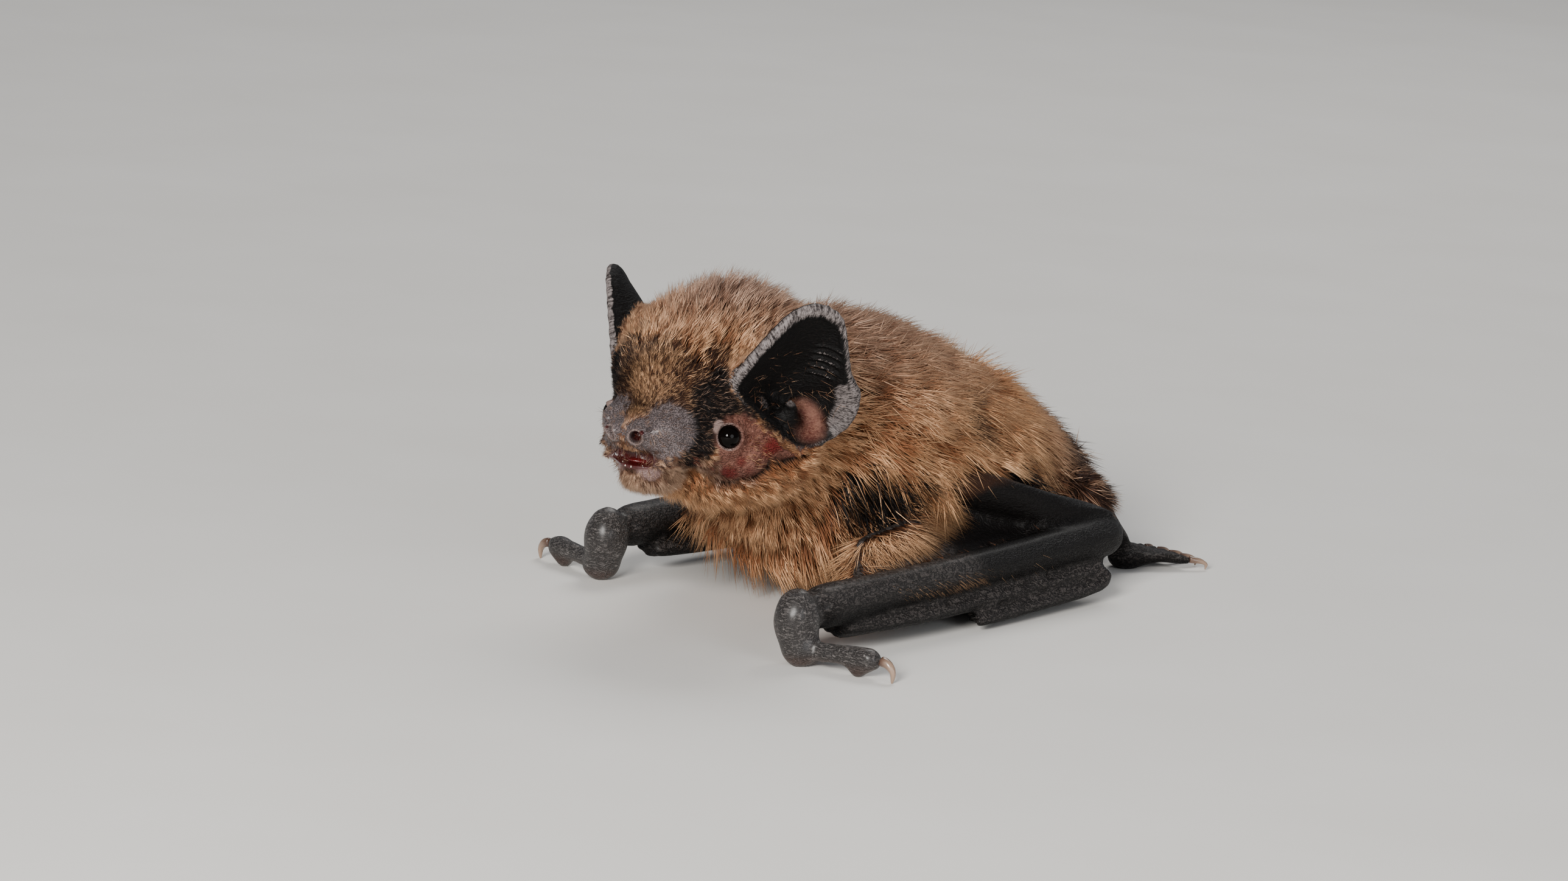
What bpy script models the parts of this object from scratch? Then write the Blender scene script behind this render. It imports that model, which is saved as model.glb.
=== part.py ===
"""A crouching pipistrelle bat, life size, as a still museum model.

The bat faces -Y with its left side towards +X. It rests on its wrists, thumbs and feet, with both wings
folded along the body. Sizes are in millimetres and become metres when each mesh is made. The furred
pieces are modelled out to the tips of the coat.
"""

import math

import bmesh
import bpy
from mathutils import Euler, Matrix, Vector

MM = 0.001
GAP = 0.3  # clearance between neighbouring pieces
SHEET = 0.55  # thickness of ears and wing skin
LEFT, RIGHT = 1, -1
SIDES = ((LEFT, "left"), (RIGHT, "right"))

# Frame: moves the middle of the body's box to the origin.
FRAME_SHIFT = Vector((-1.1, -7.15, 0.0))

# Head: its centre lies between the ears, and it is turned a little to the bat's left.
HEAD_AT = Vector((2.0, -9.0, 13.5))
HEAD_TURN = math.radians(3)
EYE_AT, EYE_RADIUS = Vector((4.25, -3.9, -0.8)), 0.7
EAR_AT = Vector((6.12, -0.61, 0.59))
EAR_FACING = Vector((0.834, -0.498, -0.236))  # the way the left ear opens
EAR_DEPTH = 2.6

# The ear's margin in its own plane, across and up: the long front edge from its lower bulge to the
# rounded tip, the back edge, the small lobe behind the cheek, and the front foot.
EAR_MARGIN = (
    (-3.95, 1.8), (-3.2, 3.1), (-2.0, 4.8), (-0.9, 6.2), (0.1, 6.8), (1.2, 6.8), (2.3, 6.1), (2.8, 4.7),
    (3.2, 3.2), (3.5, 2.2), (4.15, 1.2), (4.1, -0.1), (3.4, -1.2), (2.1, -2.1), (0.5, -2.1), (-1.2, -0.8),
    (-3.0, 0.6),
)

# Trunk, in sections from the neck to the rump: place along the body, top, bottom and half width.
TRUNK = (
    (-5.0, 18.8, 5.5, 6.0),
    (0.0, 19.3, 3.6, 8.0),
    (5.0, 18.6, 2.5, 8.9),
    (10.0, 17.3, 2.1, 9.1),
    (15.0, 15.1, 2.0, 8.5),
    (19.0, 13.3, 2.0, 7.0),
    (22.5, 11.5, 2.1, 5.4),
    (25.5, 9.2, 2.4, 4.2),
    (28.0, 6.6, 3.0, 2.4),
)
TRUNK_SIDES = 24

# Arms: the left one reaches further forward than the right one.
WRIST = {LEFT: Vector((11.9, -11.6, 2.5)), RIGHT: Vector((-9.7, -4.6, 2.5))}
ELBOW = {LEFT: Vector((10.6, 19.4, 3.9)), RIGHT: Vector((-10.9, 26.2, 3.9))}
SHOULDER = {LEFT: Vector((6.5, 3.0, 10.0)), RIGHT: Vector((-6.5, 5.5, 10.0))}
THUMB = Vector((4.1, 0.9, 0.0))

# Fingers three to five: their places beside the forearm (out and down from it), the length of the
# hand bones as a share of the forearm, and the length of the outer bones, which fold forward again.
FINGERS = ((0.85, -1.75, 0.93, 13.0), (-0.55, -2.2, 0.9, 11.0), (-1.95, -1.9, 0.85, 8.0))

# Legs and tail.
HIP = Vector((3.2, 23.4, 6.0))
KNEE = Vector((6.9, 21.0, 6.2))
ANKLE = Vector((6.1, 26.6, 1.7))
TOE_LENGTH, TOE_SPREAD = 3.0, math.radians(46)
TAIL = ((0.0, 27.3, 4.2), (0.0, 29.9, 3.4), (0.0, 30.5, 1.9), (0.0, 28.4, 1.0), (0.0, 24.0, 0.85), (0.0, 19.0, 0.85))


# ---------------------------------------------------------------- scene and materials


def clear_scene():
    for obj in list(bpy.data.objects):
        bpy.data.objects.remove(obj, do_unlink=True)


def collection(name):
    made = bpy.data.collections.new(name)
    bpy.context.scene.collection.children.link(made)
    return made


def material(name, colour, roughness):
    made = bpy.data.materials.new(name)
    made.use_nodes = True
    shader = made.node_tree.nodes["Principled BSDF"]
    shader.inputs["Base Color"].default_value = (*colour, 1)
    shader.inputs["Roughness"].default_value = roughness
    shader.inputs["Metallic"].default_value = 0
    return made


clear_scene()
BAT = collection("pipistrelle")
CUTTERS = collection("cutters")
FUR = material("brown_fur", (0.22, 0.12, 0.06), 0.85)
SKIN = material("black_wing_skin", (0.018, 0.017, 0.018), 0.55)
EYE = material("dark_eye", (0.004, 0.003, 0.003), 0.05)
CLAW = material("horn_claw", (0.35, 0.24, 0.17), 0.35)
TONGUE = material("tongue", (0.35, 0.06, 0.06), 0.3)


# ---------------------------------------------------------------- shapes


def head_frame():
    return Matrix.Translation(HEAD_AT) @ Matrix.Rotation(HEAD_TURN, 4, "Z")


def add_blob(bm, centre, radii, tilt=0.0, turn=0.0, frame=None, segments=20):
    """An ellipsoid. tilt turns its front up and turn swings it to the left, in degrees."""
    spin = Euler((math.radians(-tilt), 0, math.radians(turn))).to_matrix().to_4x4()
    place = (frame or Matrix.Identity(4)) @ Matrix.Translation(Vector(centre)) @ spin @ Matrix.Diagonal((*radii, 1))
    bmesh.ops.create_uvsphere(bm, u_segments=segments, v_segments=segments // 2, radius=1, matrix=place)


def smooth_path(points, steps):
    """Points on a Catmull-Rom curve through the given ones."""
    pts = [Vector(p) for p in points]
    pts = [2 * pts[0] - pts[1], *pts, 2 * pts[-1] - pts[-2]]
    path = []
    for a, b, c, d in zip(pts, pts[1:], pts[2:], pts[3:]):
        for i in range(steps):
            t = i / steps
            straight, bend, twist = c - a, 2 * a - 5 * b + 4 * c - d, 3 * b - a - 3 * c + d
            path.append(b + 0.5 * (straight * t + bend * t * t + twist * t**3))
    return [*path, pts[-2]]


def between(values, share):
    """Reads a list of values at a share from 0 to 1 of its length."""
    place = share * (len(values) - 1)
    i = min(int(place), len(values) - 2)
    return values[i] + (values[i + 1] - values[i]) * (place - i)


def add_rings(bm, rings):
    """Joins rings of points, each a list of the same length, and closes both ends."""
    loops = [[bm.verts.new(p) for p in ring] for ring in rings]
    for a, b in zip(loops, loops[1:]):
        for i in range(len(a)):
            j = (i + 1) % len(a)
            bm.faces.new((a[i], a[j], b[j], b[i]))
    bm.faces.new(loops[0][::-1])
    bm.faces.new(loops[-1])


def add_tube(bm, points, radii, steps=4, sides=10, dome=0.75):
    """A limb: a round tube along a smooth path. Its radius follows a list of values; the ends are domed."""
    path = smooth_path(points, steps)
    sizes = [between(radii, i / (len(path) - 1)) for i in range(len(path))]
    if dome:
        ends = [path[0] + (path[0] - path[1]).normalized() * sizes[0] * dome]
        ends.append(path[-1] + (path[-1] - path[-2]).normalized() * sizes[-1] * dome)
        path, sizes = [ends[0], *path, ends[1]], [sizes[0] * 0.5, *sizes, sizes[-1] * 0.5]
    curve = bpy.data.curves.new("limb", "CURVE")
    curve.dimensions = "3D"
    curve.bevel_depth = 1
    curve.bevel_resolution = sides // 2 - 2
    curve.use_fill_caps = True
    spline = curve.splines.new("POLY")
    spline.points.add(len(path) - 1)
    for spot, at, size in zip(spline.points, path, sizes):
        spot.co = (*at, 1)
        spot.radius = size
    limb = bpy.data.objects.new("limb", curve)
    bpy.context.scene.collection.objects.link(limb)
    mesh = bpy.data.meshes.new_from_object(limb.evaluated_get(bpy.context.evaluated_depsgraph_get()))
    bpy.data.objects.remove(limb, do_unlink=True)
    before = set(bm.verts)
    bm.from_mesh(mesh)
    bmesh.ops.remove_doubles(bm, verts=[v for v in bm.verts if v not in before], dist=1e-4)


# ---------------------------------------------------------------- objects and cuts


def new_object(name, bm, finish, home=None):
    """Makes an object of a mesh in millimetres."""
    bmesh.ops.transform(bm, matrix=Matrix.Scale(MM, 4), verts=bm.verts)
    bmesh.ops.recalc_face_normals(bm, faces=bm.faces)
    mesh = bpy.data.meshes.new(name)
    bm.to_mesh(mesh)
    bm.free()
    obj = bpy.data.objects.new(name, mesh)
    mesh.materials.append(finish)
    (home or BAT).objects.link(obj)
    if home == CUTTERS:
        as_cutter(obj)
    return obj


def as_cutter(obj):
    obj.hide_render = True
    obj.display_type = "WIRE"


def bake_modifiers(obj):
    graph = bpy.context.evaluated_depsgraph_get()
    mesh = bpy.data.meshes.new_from_object(obj.evaluated_get(graph))
    obj.modifiers.clear()
    obj.data = mesh


def fuse(obj, voxel, smoothing):
    """Melts overlapping shapes into one soft form."""
    remesh = obj.modifiers.new("Fuse", "REMESH")
    remesh.mode = "VOXEL"
    remesh.voxel_size = voxel * MM
    soften = obj.modifiers.new("Soften", "SMOOTH")
    soften.factor = 0.6
    soften.iterations = smoothing
    bake_modifiers(obj)


def thin_out(obj, triangles):
    """Lowers the mesh to about this many triangles."""
    now = sum(len(p.vertices) - 2 for p in obj.data.polygons)
    fewer = obj.modifiers.new("Fewer", "DECIMATE")
    fewer.ratio = min(1.0, triangles / now)
    fewer.use_collapse_triangulate = True
    bake_modifiers(obj)


def thicken(obj):
    """Gives a surface the thickness of wing skin."""
    wall = obj.modifiers.new("Wall", "SOLIDIFY")
    wall.thickness = SHEET * MM
    wall.offset = 0
    bake_modifiers(obj)


def duplicate(obj, name, home=None):
    twin = bpy.data.objects.new(name, obj.data.copy())
    (home or BAT).objects.link(twin)
    if home == CUTTERS:
        as_cutter(twin)
    return twin


def room_around(obj, by=GAP):
    """A copy of a solid, grown on all sides, to cut its neighbours with."""
    room = duplicate(obj, "room_" + obj.name, CUTTERS)
    grow = room.modifiers.new("Grow", "DISPLACE")
    grow.mid_level = 0
    grow.strength = by * MM
    bake_modifiers(room)
    return room


def keep_largest(bm):
    """Removes crumbs that a cut leaves beside the main body."""
    left, islands = set(bm.verts), []
    while left:
        stack, island = [left.pop()], set()
        while stack:
            vert = stack.pop()
            island.add(vert)
            near = {e.other_vert(vert) for e in vert.link_edges} & left
            left -= near
            stack.extend(near)
        islands.append(island)
    biggest = max(islands, key=len)
    bmesh.ops.delete(bm, geom=[v for v in bm.verts if v not in biggest], context="VERTS")


def edit(obj, change, *values):
    """Runs a change on an object's mesh."""
    bm = bmesh.new()
    bm.from_mesh(obj.data)
    change(bm, *values)
    bm.to_mesh(obj.data)
    bm.free()


def slice_off(bm, point, normal):
    """Cuts with a plane, drops the side that the normal points to, and closes the cut."""
    everything = [*bm.verts, *bm.edges, *bm.faces]
    bmesh.ops.bisect_plane(
        bm, geom=everything, dist=1e-7, plane_co=Vector(point) * MM, plane_no=Vector(normal), clear_outer=True
    )
    bmesh.ops.holes_fill(bm, edges=[e for e in bm.edges if e.is_boundary], sides=0)
    bmesh.ops.triangulate(bm, faces=bm.faces)
    bmesh.ops.recalc_face_normals(bm, faces=bm.faces)


def carve(obj, *rooms):
    """Cuts away what would touch the neighbours."""
    for room in rooms:
        cut = obj.modifiers.new("Clear", "BOOLEAN")
        cut.operation = "DIFFERENCE"
        cut.solver = "EXACT"
        cut.use_self = True
        cut.object = room
        bake_modifiers(obj)
    edit(obj, keep_largest)


def tidy_faces(bm):
    bmesh.ops.remove_doubles(bm, verts=bm.verts, dist=1e-7)
    bmesh.ops.triangulate(bm, faces=bm.faces)


# ---------------------------------------------------------------- body


def trunk_ring(y, top, bottom, half_width):
    """A section of the trunk, a little flatter below than above."""
    middle, rise = (top + bottom) / 2, (top - bottom) / 2
    ring = []
    for k in range(TRUNK_SIDES):
        a = 2 * math.pi * k / TRUNK_SIDES
        flatten = 0.85 if math.sin(a) < 0 else 1.0
        wide = math.copysign(abs(math.cos(a)) ** flatten, math.cos(a))
        ring.append(Vector((wide * half_width, y, middle + rise * math.sin(a))))
    return ring


def body_mass():
    """The whole furred body with the head, as one soft form that is parted afterwards."""
    bm = bmesh.new()
    add_rings(bm, [trunk_ring(*section) for section in TRUNK])
    add_blob(bm, (0, 26.2, 5.6), (3.8, 3.0, 3.2))  # rump
    add_blob(bm, (0.5, 1.5, 5.8), (6.4, 6.2, 3.7))  # chest ruff
    for side in (LEFT, RIGHT):
        add_blob(bm, (side * 5.6, 4.5, 10.8), (3.8, 6.5, 5.2), turn=side * 8)  # shoulder
    frame = head_frame()
    add_blob(bm, (0, 1.2, 1.7), (6.7, 6.8, 6.5), frame=frame)  # crown
    add_blob(bm, (0, -2.6, 1.9), (5.0, 4.0, 4.3), tilt=20, frame=frame)  # forehead
    add_blob(bm, (0, 0.4, -3.4), (5.6, 5.4, 3.5), frame=frame)  # throat
    add_blob(bm, (0, -5.6, -1.1), (2.5, 3.0, 1.8), tilt=4, frame=frame)  # muzzle
    add_blob(bm, (0, -5.0, -3.6), (2.3, 3.1, 1.25), tilt=10, frame=frame)  # lower jaw
    add_blob(bm, (0, -8.0, -0.75), (1.45, 0.8, 0.75), frame=frame)  # nose pad
    for side in (LEFT, RIGHT):
        add_blob(bm, (side * 3.9, 0.8, -2.2), (3.1, 4.5, 3.6), frame=frame)  # cheek ruff
        add_blob(bm, (side * 1.75, -6.2, -0.45), (1.4, 1.9, 1.25), frame=frame)  # gland swelling
        add_blob(bm, (side * 2.3, -4.9, -2.1), (1.5, 2.4, 1.2), tilt=-8, frame=frame)  # upper lip
        add_blob(bm, (side * 3.3, -3.0, -1.6), (1.5, 2.6, 2.0), frame=frame)  # bare cheek
        add_blob(bm, (side * 1.1, -8.2, -0.8), (0.6, 0.55, 0.5), frame=frame)  # nostril rim
    mass = new_object("mass", bm, FUR)
    fuse(mass, 0.34, 3)
    return mass


MOUTH_FRONT, MOUTH_CORNER = -10.0, Vector((0, -4.4, -3.45))


def mouth_cutter():
    """A wedge, open in front, that parts the lips and ends at the corners of the mouth."""
    upper = ((MOUTH_FRONT, -1.75), (-6.5, -2.2), (MOUTH_CORNER.y, MOUTH_CORNER.z + GAP / 2))
    lower = ((MOUTH_CORNER.y, MOUTH_CORNER.z - GAP / 2), (-6.5, -2.95), (MOUTH_FRONT, -2.65))
    frame, half_width = head_frame(), 4.2
    bm = bmesh.new()
    add_rings(bm, [[frame @ Vector((x, y, z)) for y, z in (*upper, *lower)] for x in (-half_width, half_width)])
    return new_object("mouth_gap", bm, TONGUE, CUTTERS)


def part_body():
    """Parts the body into head, neck, chest and abdomen with thin plane cuts."""
    fine = body_mass()
    coarse = duplicate(fine, "coarse_mass")
    thin_out(fine, 1020)
    thin_out(coarse, 800)
    half = GAP / 2
    neck_front, neck_back, waist = Vector((0, -3.4, 0)), Vector((0, 1.4, 0)), Vector((0, 14.5, 0))
    lean = Vector((0, 1, -0.12)).normalized()
    back = Vector((0, 1, 0))
    cuts = {
        "head": (fine, (neck_front - lean * half, lean)),
        "neck": (coarse, (neck_front + lean * half, -lean), (neck_back - back * half, back)),
        "chest": (coarse, (neck_back + back * half, -back), (waist - back * half, back)),
        "abdomen": (coarse, (waist + back * half, -back)),
    }
    parts = {}
    for name, (source, *planes) in cuts.items():
        parts[name] = duplicate(source, name)
        for point, normal in planes:
            edit(parts[name], slice_off, point, normal)
    room = room_around(coarse)
    for mass in (fine, coarse):
        bpy.data.objects.remove(mass, do_unlink=True)
    return parts, room


def part_jaw(head):
    """Takes the lower jaw off the head, along the mouth and then down behind the chin."""
    carve(head, mouth_cutter())
    frame = head_frame()
    corner = frame @ MOUTH_CORNER
    turn = frame.to_3x3()
    behind = (turn @ Vector((0, 0.8, -0.6))).normalized()
    above = (turn @ Vector((0, 0.2, 1))).normalized()
    jaw = duplicate(head, "lower_jaw")
    edit(jaw, slice_off, corner - above * GAP / 2, above)
    edit(jaw, slice_off, corner - behind * GAP / 2, behind)
    edit(jaw, keep_largest)
    carve(head, room_around(jaw))
    return jaw


def make_tongue():
    bm = bmesh.new()
    add_blob(bm, (0, -6.1, -2.72), (0.95, 1.5, 0.28), tilt=8, frame=head_frame(), segments=12)
    return new_object("tongue", bm, TONGUE)


def make_eye(side, name):
    bm = bmesh.new()
    centre = (side * EYE_AT.x, EYE_AT.y, EYE_AT.z)
    add_blob(bm, centre, (EYE_RADIUS,) * 3, frame=head_frame(), segments=12)
    return new_object(name, bm, EYE)


# ---------------------------------------------------------------- ears


class EarShape:
    """One ear's plane, and the bowl that sinks behind it."""

    def __init__(self, side):
        self.base = Vector((EAR_AT.x * side, EAR_AT.y, EAR_AT.z))
        self.out = Vector((EAR_FACING.x * side, EAR_FACING.y, EAR_FACING.z)).normalized()
        self.across = Vector((-self.out.y, self.out.x, 0)).normalized() * side
        self.up = self.out.cross(self.across) * side
        closed = [Vector((x, y, 0)) for x, y in (*EAR_MARGIN, EAR_MARGIN[0])]
        self.margin = smooth_path(closed, 2)[:-1]

    def point(self, across, up, out):
        return head_frame() @ (self.base + self.across * across + self.up * up + self.out * out)

    def ring(self, share, push=0.0, grow=0.0):
        """Share 1 is the margin; towards 0 it sinks into the bowl, which is shallow near the tip."""
        deepest = Vector((0.6, -0.2, 0))
        points = []
        for at in self.margin:
            flat = deepest + (at - deepest) * (share + grow)
            height = max(0.0, flat.y) / 6.8
            sink = EAR_DEPTH * (1 - share**2.2) * (1 - 0.45 * height)
            points.append(self.point(flat.x, flat.y, push - sink))
        return points


def make_ear(shape, name):
    """The conch: an open bowl."""
    bm = bmesh.new()
    loops = [[bm.verts.new(p) for p in shape.ring(share)] for share in (1.0, 0.72, 0.32)]
    for a, b in zip(loops, loops[1:]):
        for i in range(len(a)):
            j = (i + 1) % len(a)
            bm.faces.new((a[i], a[j], b[j], b[i]))
    bm.faces.new(loops[-1])
    bmesh.ops.recalc_face_normals(bm, faces=bm.faces)
    ear = new_object(name, bm, SKIN)
    thicken(ear)
    return ear


def ear_opening(shape, name):
    """The space in front of the conch, which the head leaves free."""
    bm = bmesh.new()
    inner = [shape.ring(share, push=-SHEET / 2) for share in (0.32, 0.72)]
    outer = [shape.ring(1.0, push=push, grow=grow) for push, grow in ((0.0, 0.06), (4.0, 0.12))]
    add_rings(bm, [*inner, *outer])
    return new_object(name, bm, SKIN, CUTTERS)


def make_tragus(shape, name):
    spots = ((0.9, -1.9, -1.5), (0.65, -1.25, -1.1), (0.35, -0.5, -0.8), (0.3, 0.1, -0.7))
    bm = bmesh.new()
    add_tube(bm, [shape.point(*spot) for spot in spots], (0.7, 0.62, 0.5, 0.34), steps=1, sides=8)
    return new_object(name, bm, SKIN)


# ---------------------------------------------------------------- wings


class Wing:
    """Places along one folded wing, from the wrist (0) to the elbow (1) of the forearm."""

    def __init__(self, side):
        self.side = side
        self.wrist, self.elbow, self.shoulder = WRIST[side], ELBOW[side], SHOULDER[side]

    def at(self, share, out=0.0, rise=0.0, on=0.0):
        bow = math.sin(math.pi * min(1.0, max(0.0, share)))
        shift = Vector((self.side * (out + 0.3 * bow), on, rise + 0.15 * bow))
        return self.wrist.lerp(self.elbow, share) + shift

    def forearm(self, name):
        bm = bmesh.new()
        path = (self.at(0.06, rise=0.55), self.at(0.3, rise=0.35), self.at(0.6, rise=0.1), self.at(0.985))
        add_tube(bm, path, (1.35, 1.2, 1.1, 1.1, 1.15, 1.4), steps=3, sides=10)
        return new_object(name, bm, SKIN)

    def wrist_knob(self, name):
        """The bent wrist, which carries the bat's weight on a small pad."""
        bm = bmesh.new()
        add_blob(bm, self.wrist + Vector((0, -0.2, 0.2)), (1.35, 1.5, 1.95))
        add_blob(bm, self.wrist + Vector((self.side * 0.4, -0.1, -1.55)), (1.25, 1.2, 1.05))
        made = new_object(name, bm, SKIN)
        fuse(made, 0.3, 2)
        thin_out(made, 112)
        return made

    def thumb(self, name):
        start = self.wrist + Vector((self.side * 1.2, 0.0, -1.5))
        run = Vector((self.side * THUMB.x, THUMB.y, 0))
        bm = bmesh.new()
        path = (start, start + run * 0.35 + Vector((0, 0, 0.1)), start + run * 0.7 + Vector((0, 0, 0.15)))
        add_tube(bm, path, (0.62, 0.52, 0.6), steps=3, sides=10)
        add_blob(bm, start + run * 0.85 + Vector((0, 0, 0.1)), (0.95, 0.75, 0.72), turn=self.side * 12)
        add_blob(bm, start + run * 0.72 + Vector((0, 0, -0.5)), (0.6, 0.55, 0.55))
        made = new_object(name, bm, SKIN)
        fuse(made, 0.2, 2)
        thin_out(made, 112)
        return made

    def thumb_claw(self, name):
        start = self.wrist + Vector((self.side * (THUMB.x + 1.75), THUMB.y, -1.45))
        return make_hook(name, start, Vector((self.side * 0.8, 0.1, 0)), Vector((0, 0, -0.95)), 0.3)

    def finger(self, rank, name):
        """A finger: back along the forearm to its knuckle near the elbow, and forward again below."""
        out, drop, reach, length = FINGERS[rank]
        outer = length / (self.elbow - self.wrist).length
        low = min(drop - 0.95, -0.95)
        path = [self.at(0.13, out * 0.5, drop * 0.62), self.at(0.35, out, drop * 0.9), self.at(reach * 0.75, out, drop)]
        path += [self.at(reach, out, drop), self.at(reach + 0.022, out + 0.25, drop - 0.45)]
        path += [self.at(reach, out + 0.45, low), self.at(reach - outer * 0.5, out + 0.5, low)]
        path.append(self.at(reach - outer, out + 0.45, low))
        for spot in path:
            spot.z = max(spot.z, 0.5)
        bm = bmesh.new()
        add_tube(bm, path, (0.48, 0.42, 0.38, 0.4, 0.44, 0.42, 0.34, 0.3), steps=1, sides=6)
        return new_object(name, bm, SKIN)

    def upper_arm(self, name):
        path = (self.shoulder, self.shoulder.lerp(self.elbow, 0.5) + Vector((self.side * 0.7, 0, 0.2)),
                self.elbow + Vector((-self.side * 0.6, -0.3, 1.0)))
        bm = bmesh.new()
        add_tube(bm, path, (2.3, 1.8, 1.35, 1.15), steps=3, sides=10)
        return new_object(name, bm, SKIN)

    def arm_skin(self, name):
        """The skin before the elbow, from the forearm up to the upper arm and the shoulder."""
        outer = [self.at(share, -1.2, 0.9) for share in (0.2, 0.45, 0.7, 0.9)]
        inner = [self.at(0.3, -3.6, 2.6), self.at(0.5, -3.6, 3.0), self.at(0.72, -3.2, 2.6), self.at(0.92, -1.6, 1.5)]
        return hang_skin(name, outer, inner, sag=-0.5, pleats=1)

    def flank_skin(self, name):
        """The folded main wing skin, pleated between the fingers and the body and leg."""
        ankle = mirrored(ANKLE, self.side)
        outer = [self.at(share, -2.9, -1.2) for share in (0.35, 0.55, 0.75, 0.95)]
        inner = [Vector((self.side * 4.2, outer[0].y + 2.0, 1.15)), Vector((self.side * 4.2, 11.0, 1.15)),
                 Vector((self.side * 4.2, 18.0, 1.15)), ankle + Vector((-self.side * 0.6, -3.2, -0.5))]
        return hang_skin(name, outer, inner, sag=0.3, pleats=3)


def make_hook(name, start, lead, drop, thick):
    """A curved claw: it leaves along lead and bends down by drop, to a point."""
    path = (start, start + lead * 0.6 + drop * 0.12, start + lead * 0.95 + drop * 0.5, start + lead * 0.85 + drop)
    bm = bmesh.new()
    add_tube(bm, path, (thick, thick * 0.85, thick * 0.55, thick * 0.2), steps=1, sides=6, dome=0)
    return new_object(name, bm, CLAW)


def hang_skin(name, edge_a, edge_b, sag, pleats, columns=10, rows=4):
    """Wing skin of even thickness, hung between two lines with soft pleats along it."""
    lines = []
    for edge in (edge_a, edge_b):
        line = smooth_path(edge, 6)
        lines.append([between(line, k / columns) for k in range(columns + 1)])
    bm = bmesh.new()
    grid = []
    for k in range(rows + 1):
        share = k / rows
        lift = Vector((0, 0, sag * math.sin(pleats * math.pi * share)))
        grid.append([bm.verts.new(a.lerp(b, share) + lift) for a, b in zip(*lines)])
    for a, b in zip(grid, grid[1:]):
        for i in range(columns):
            bm.faces.new((a[i], a[i + 1], b[i + 1], b[i]))
    bmesh.ops.recalc_face_normals(bm, faces=bm.faces)
    made = new_object(name, bm, SKIN)
    thicken(made)
    return made


# ---------------------------------------------------------------- legs and tail


def mirrored(point, side):
    return Vector((point.x * side, point.y, point.z))


def make_thigh(side, name):
    bm = bmesh.new()
    hip, knee = mirrored(HIP, side), mirrored(KNEE, side)
    add_tube(bm, (hip, hip.lerp(knee, 0.5), knee), (1.7, 1.5, 1.2), steps=2, sides=10)
    return new_object(name, bm, FUR)


def make_shin(side, name):
    bm = bmesh.new()
    knee, ankle = mirrored(KNEE, side), mirrored(ANKLE, side)
    start = knee.lerp(ankle, 0.25) + Vector((side * 0.3, 0.2, -0.2))
    add_tube(bm, (start, knee.lerp(ankle, 0.6), ankle), (0.85, 0.7, 0.6), steps=2, sides=8)
    return new_object(name, bm, SKIN)


def toe_line(side, rank):
    """Start and direction of a toe, fanned out behind the ankle."""
    ankle = mirrored(ANKLE, side)
    heading = math.radians(14) + TOE_SPREAD * (rank - 2) / 4
    along = Vector((side * math.sin(heading), math.cos(heading), 0))
    return Vector((ankle.x + side * (0.25 + 0.42 * (rank - 2)), ankle.y + 1.0, 0.62)), along


def make_foot(side, name):
    ankle = mirrored(ANKLE, side)
    bm = bmesh.new()
    add_blob(bm, (ankle.x + side * 0.15, ankle.y + 0.6, 0.75), (1.15, 1.5, 0.85))
    for rank in range(5):
        start, along = toe_line(side, rank)
        middle = start + along * TOE_LENGTH * 0.5 + Vector((0, 0, 0.2))
        add_tube(bm, (start, middle, start + along * TOE_LENGTH), (0.36, 0.3, 0.32), steps=2, sides=8)
    made = new_object(name, bm, SKIN)
    fuse(made, 0.17, 1)
    thin_out(made, 210)
    return made


def make_toe_claw(side, rank, name):
    start, along = toe_line(side, rank)
    return make_hook(name, start + along * (TOE_LENGTH + 0.3), along * 1.1, Vector((0, 0, -0.5)), 0.2)


def make_tail():
    bm = bmesh.new()
    add_tube(bm, TAIL, (1.1, 0.95, 0.8, 0.62, 0.55, 0.5), steps=2, sides=8)
    return new_object("tail", bm, SKIN)


def make_tail_skin(side, name):
    """Half of the tail membrane: it follows the tucked tail and reaches to the ankle."""
    tail_edge = [Vector(p) + Vector((side * 0.9, 0, 0)) for p in TAIL[1:]]
    ankle = mirrored(ANKLE, side)
    leg_edge = [Vector((side * 3.4, 28.3, 3.4)), Vector((side * 3.6, 28.7, 2.0)), Vector((side * 3.4, 27.0, 1.0)),
                ankle + Vector((-side * 2.2, -2.6, -0.8)), Vector((side * 3.0, 19.5, 0.85))]
    return hang_skin(name, tail_edge, leg_edge, sag=0.2, pleats=1, columns=10, rows=2)


# ---------------------------------------------------------------- assembly


class Assembly:
    """Keeps the finished pieces, and around each the room that later pieces must leave free."""

    def __init__(self):
        self.pieces = {}
        self.rooms = {}

    def add(self, obj, *clear_of, room=True):
        if room:
            self.rooms[obj.name] = room_around(obj)
        if clear_of:
            carve(obj, *(self.rooms[name] for name in clear_of))
        self.pieces[obj.name] = obj


def add_head(bat, head, jaw):
    bat.add(make_tongue())
    for lip in (head, jaw):
        carve(lip, bat.rooms["tongue"])
    bat.pieces |= {"head": head, "lower_jaw": jaw}
    for side, word in SIDES:
        shape = EarShape(side)
        bat.add(make_ear(shape, f"{word}_ear"))
        bat.add(make_tragus(shape, f"{word}_tragus"), f"{word}_ear")
        bat.add(make_eye(side, f"{word}_eye"), room=False)
        rooms = [ear_opening(shape, f"opening_{word}"), bat.rooms[f"{word}_tragus"], bat.rooms[f"{word}_ear"]]
        carve(head, *rooms, room_around(bat.pieces[f"{word}_eye"], 0.06))


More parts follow.
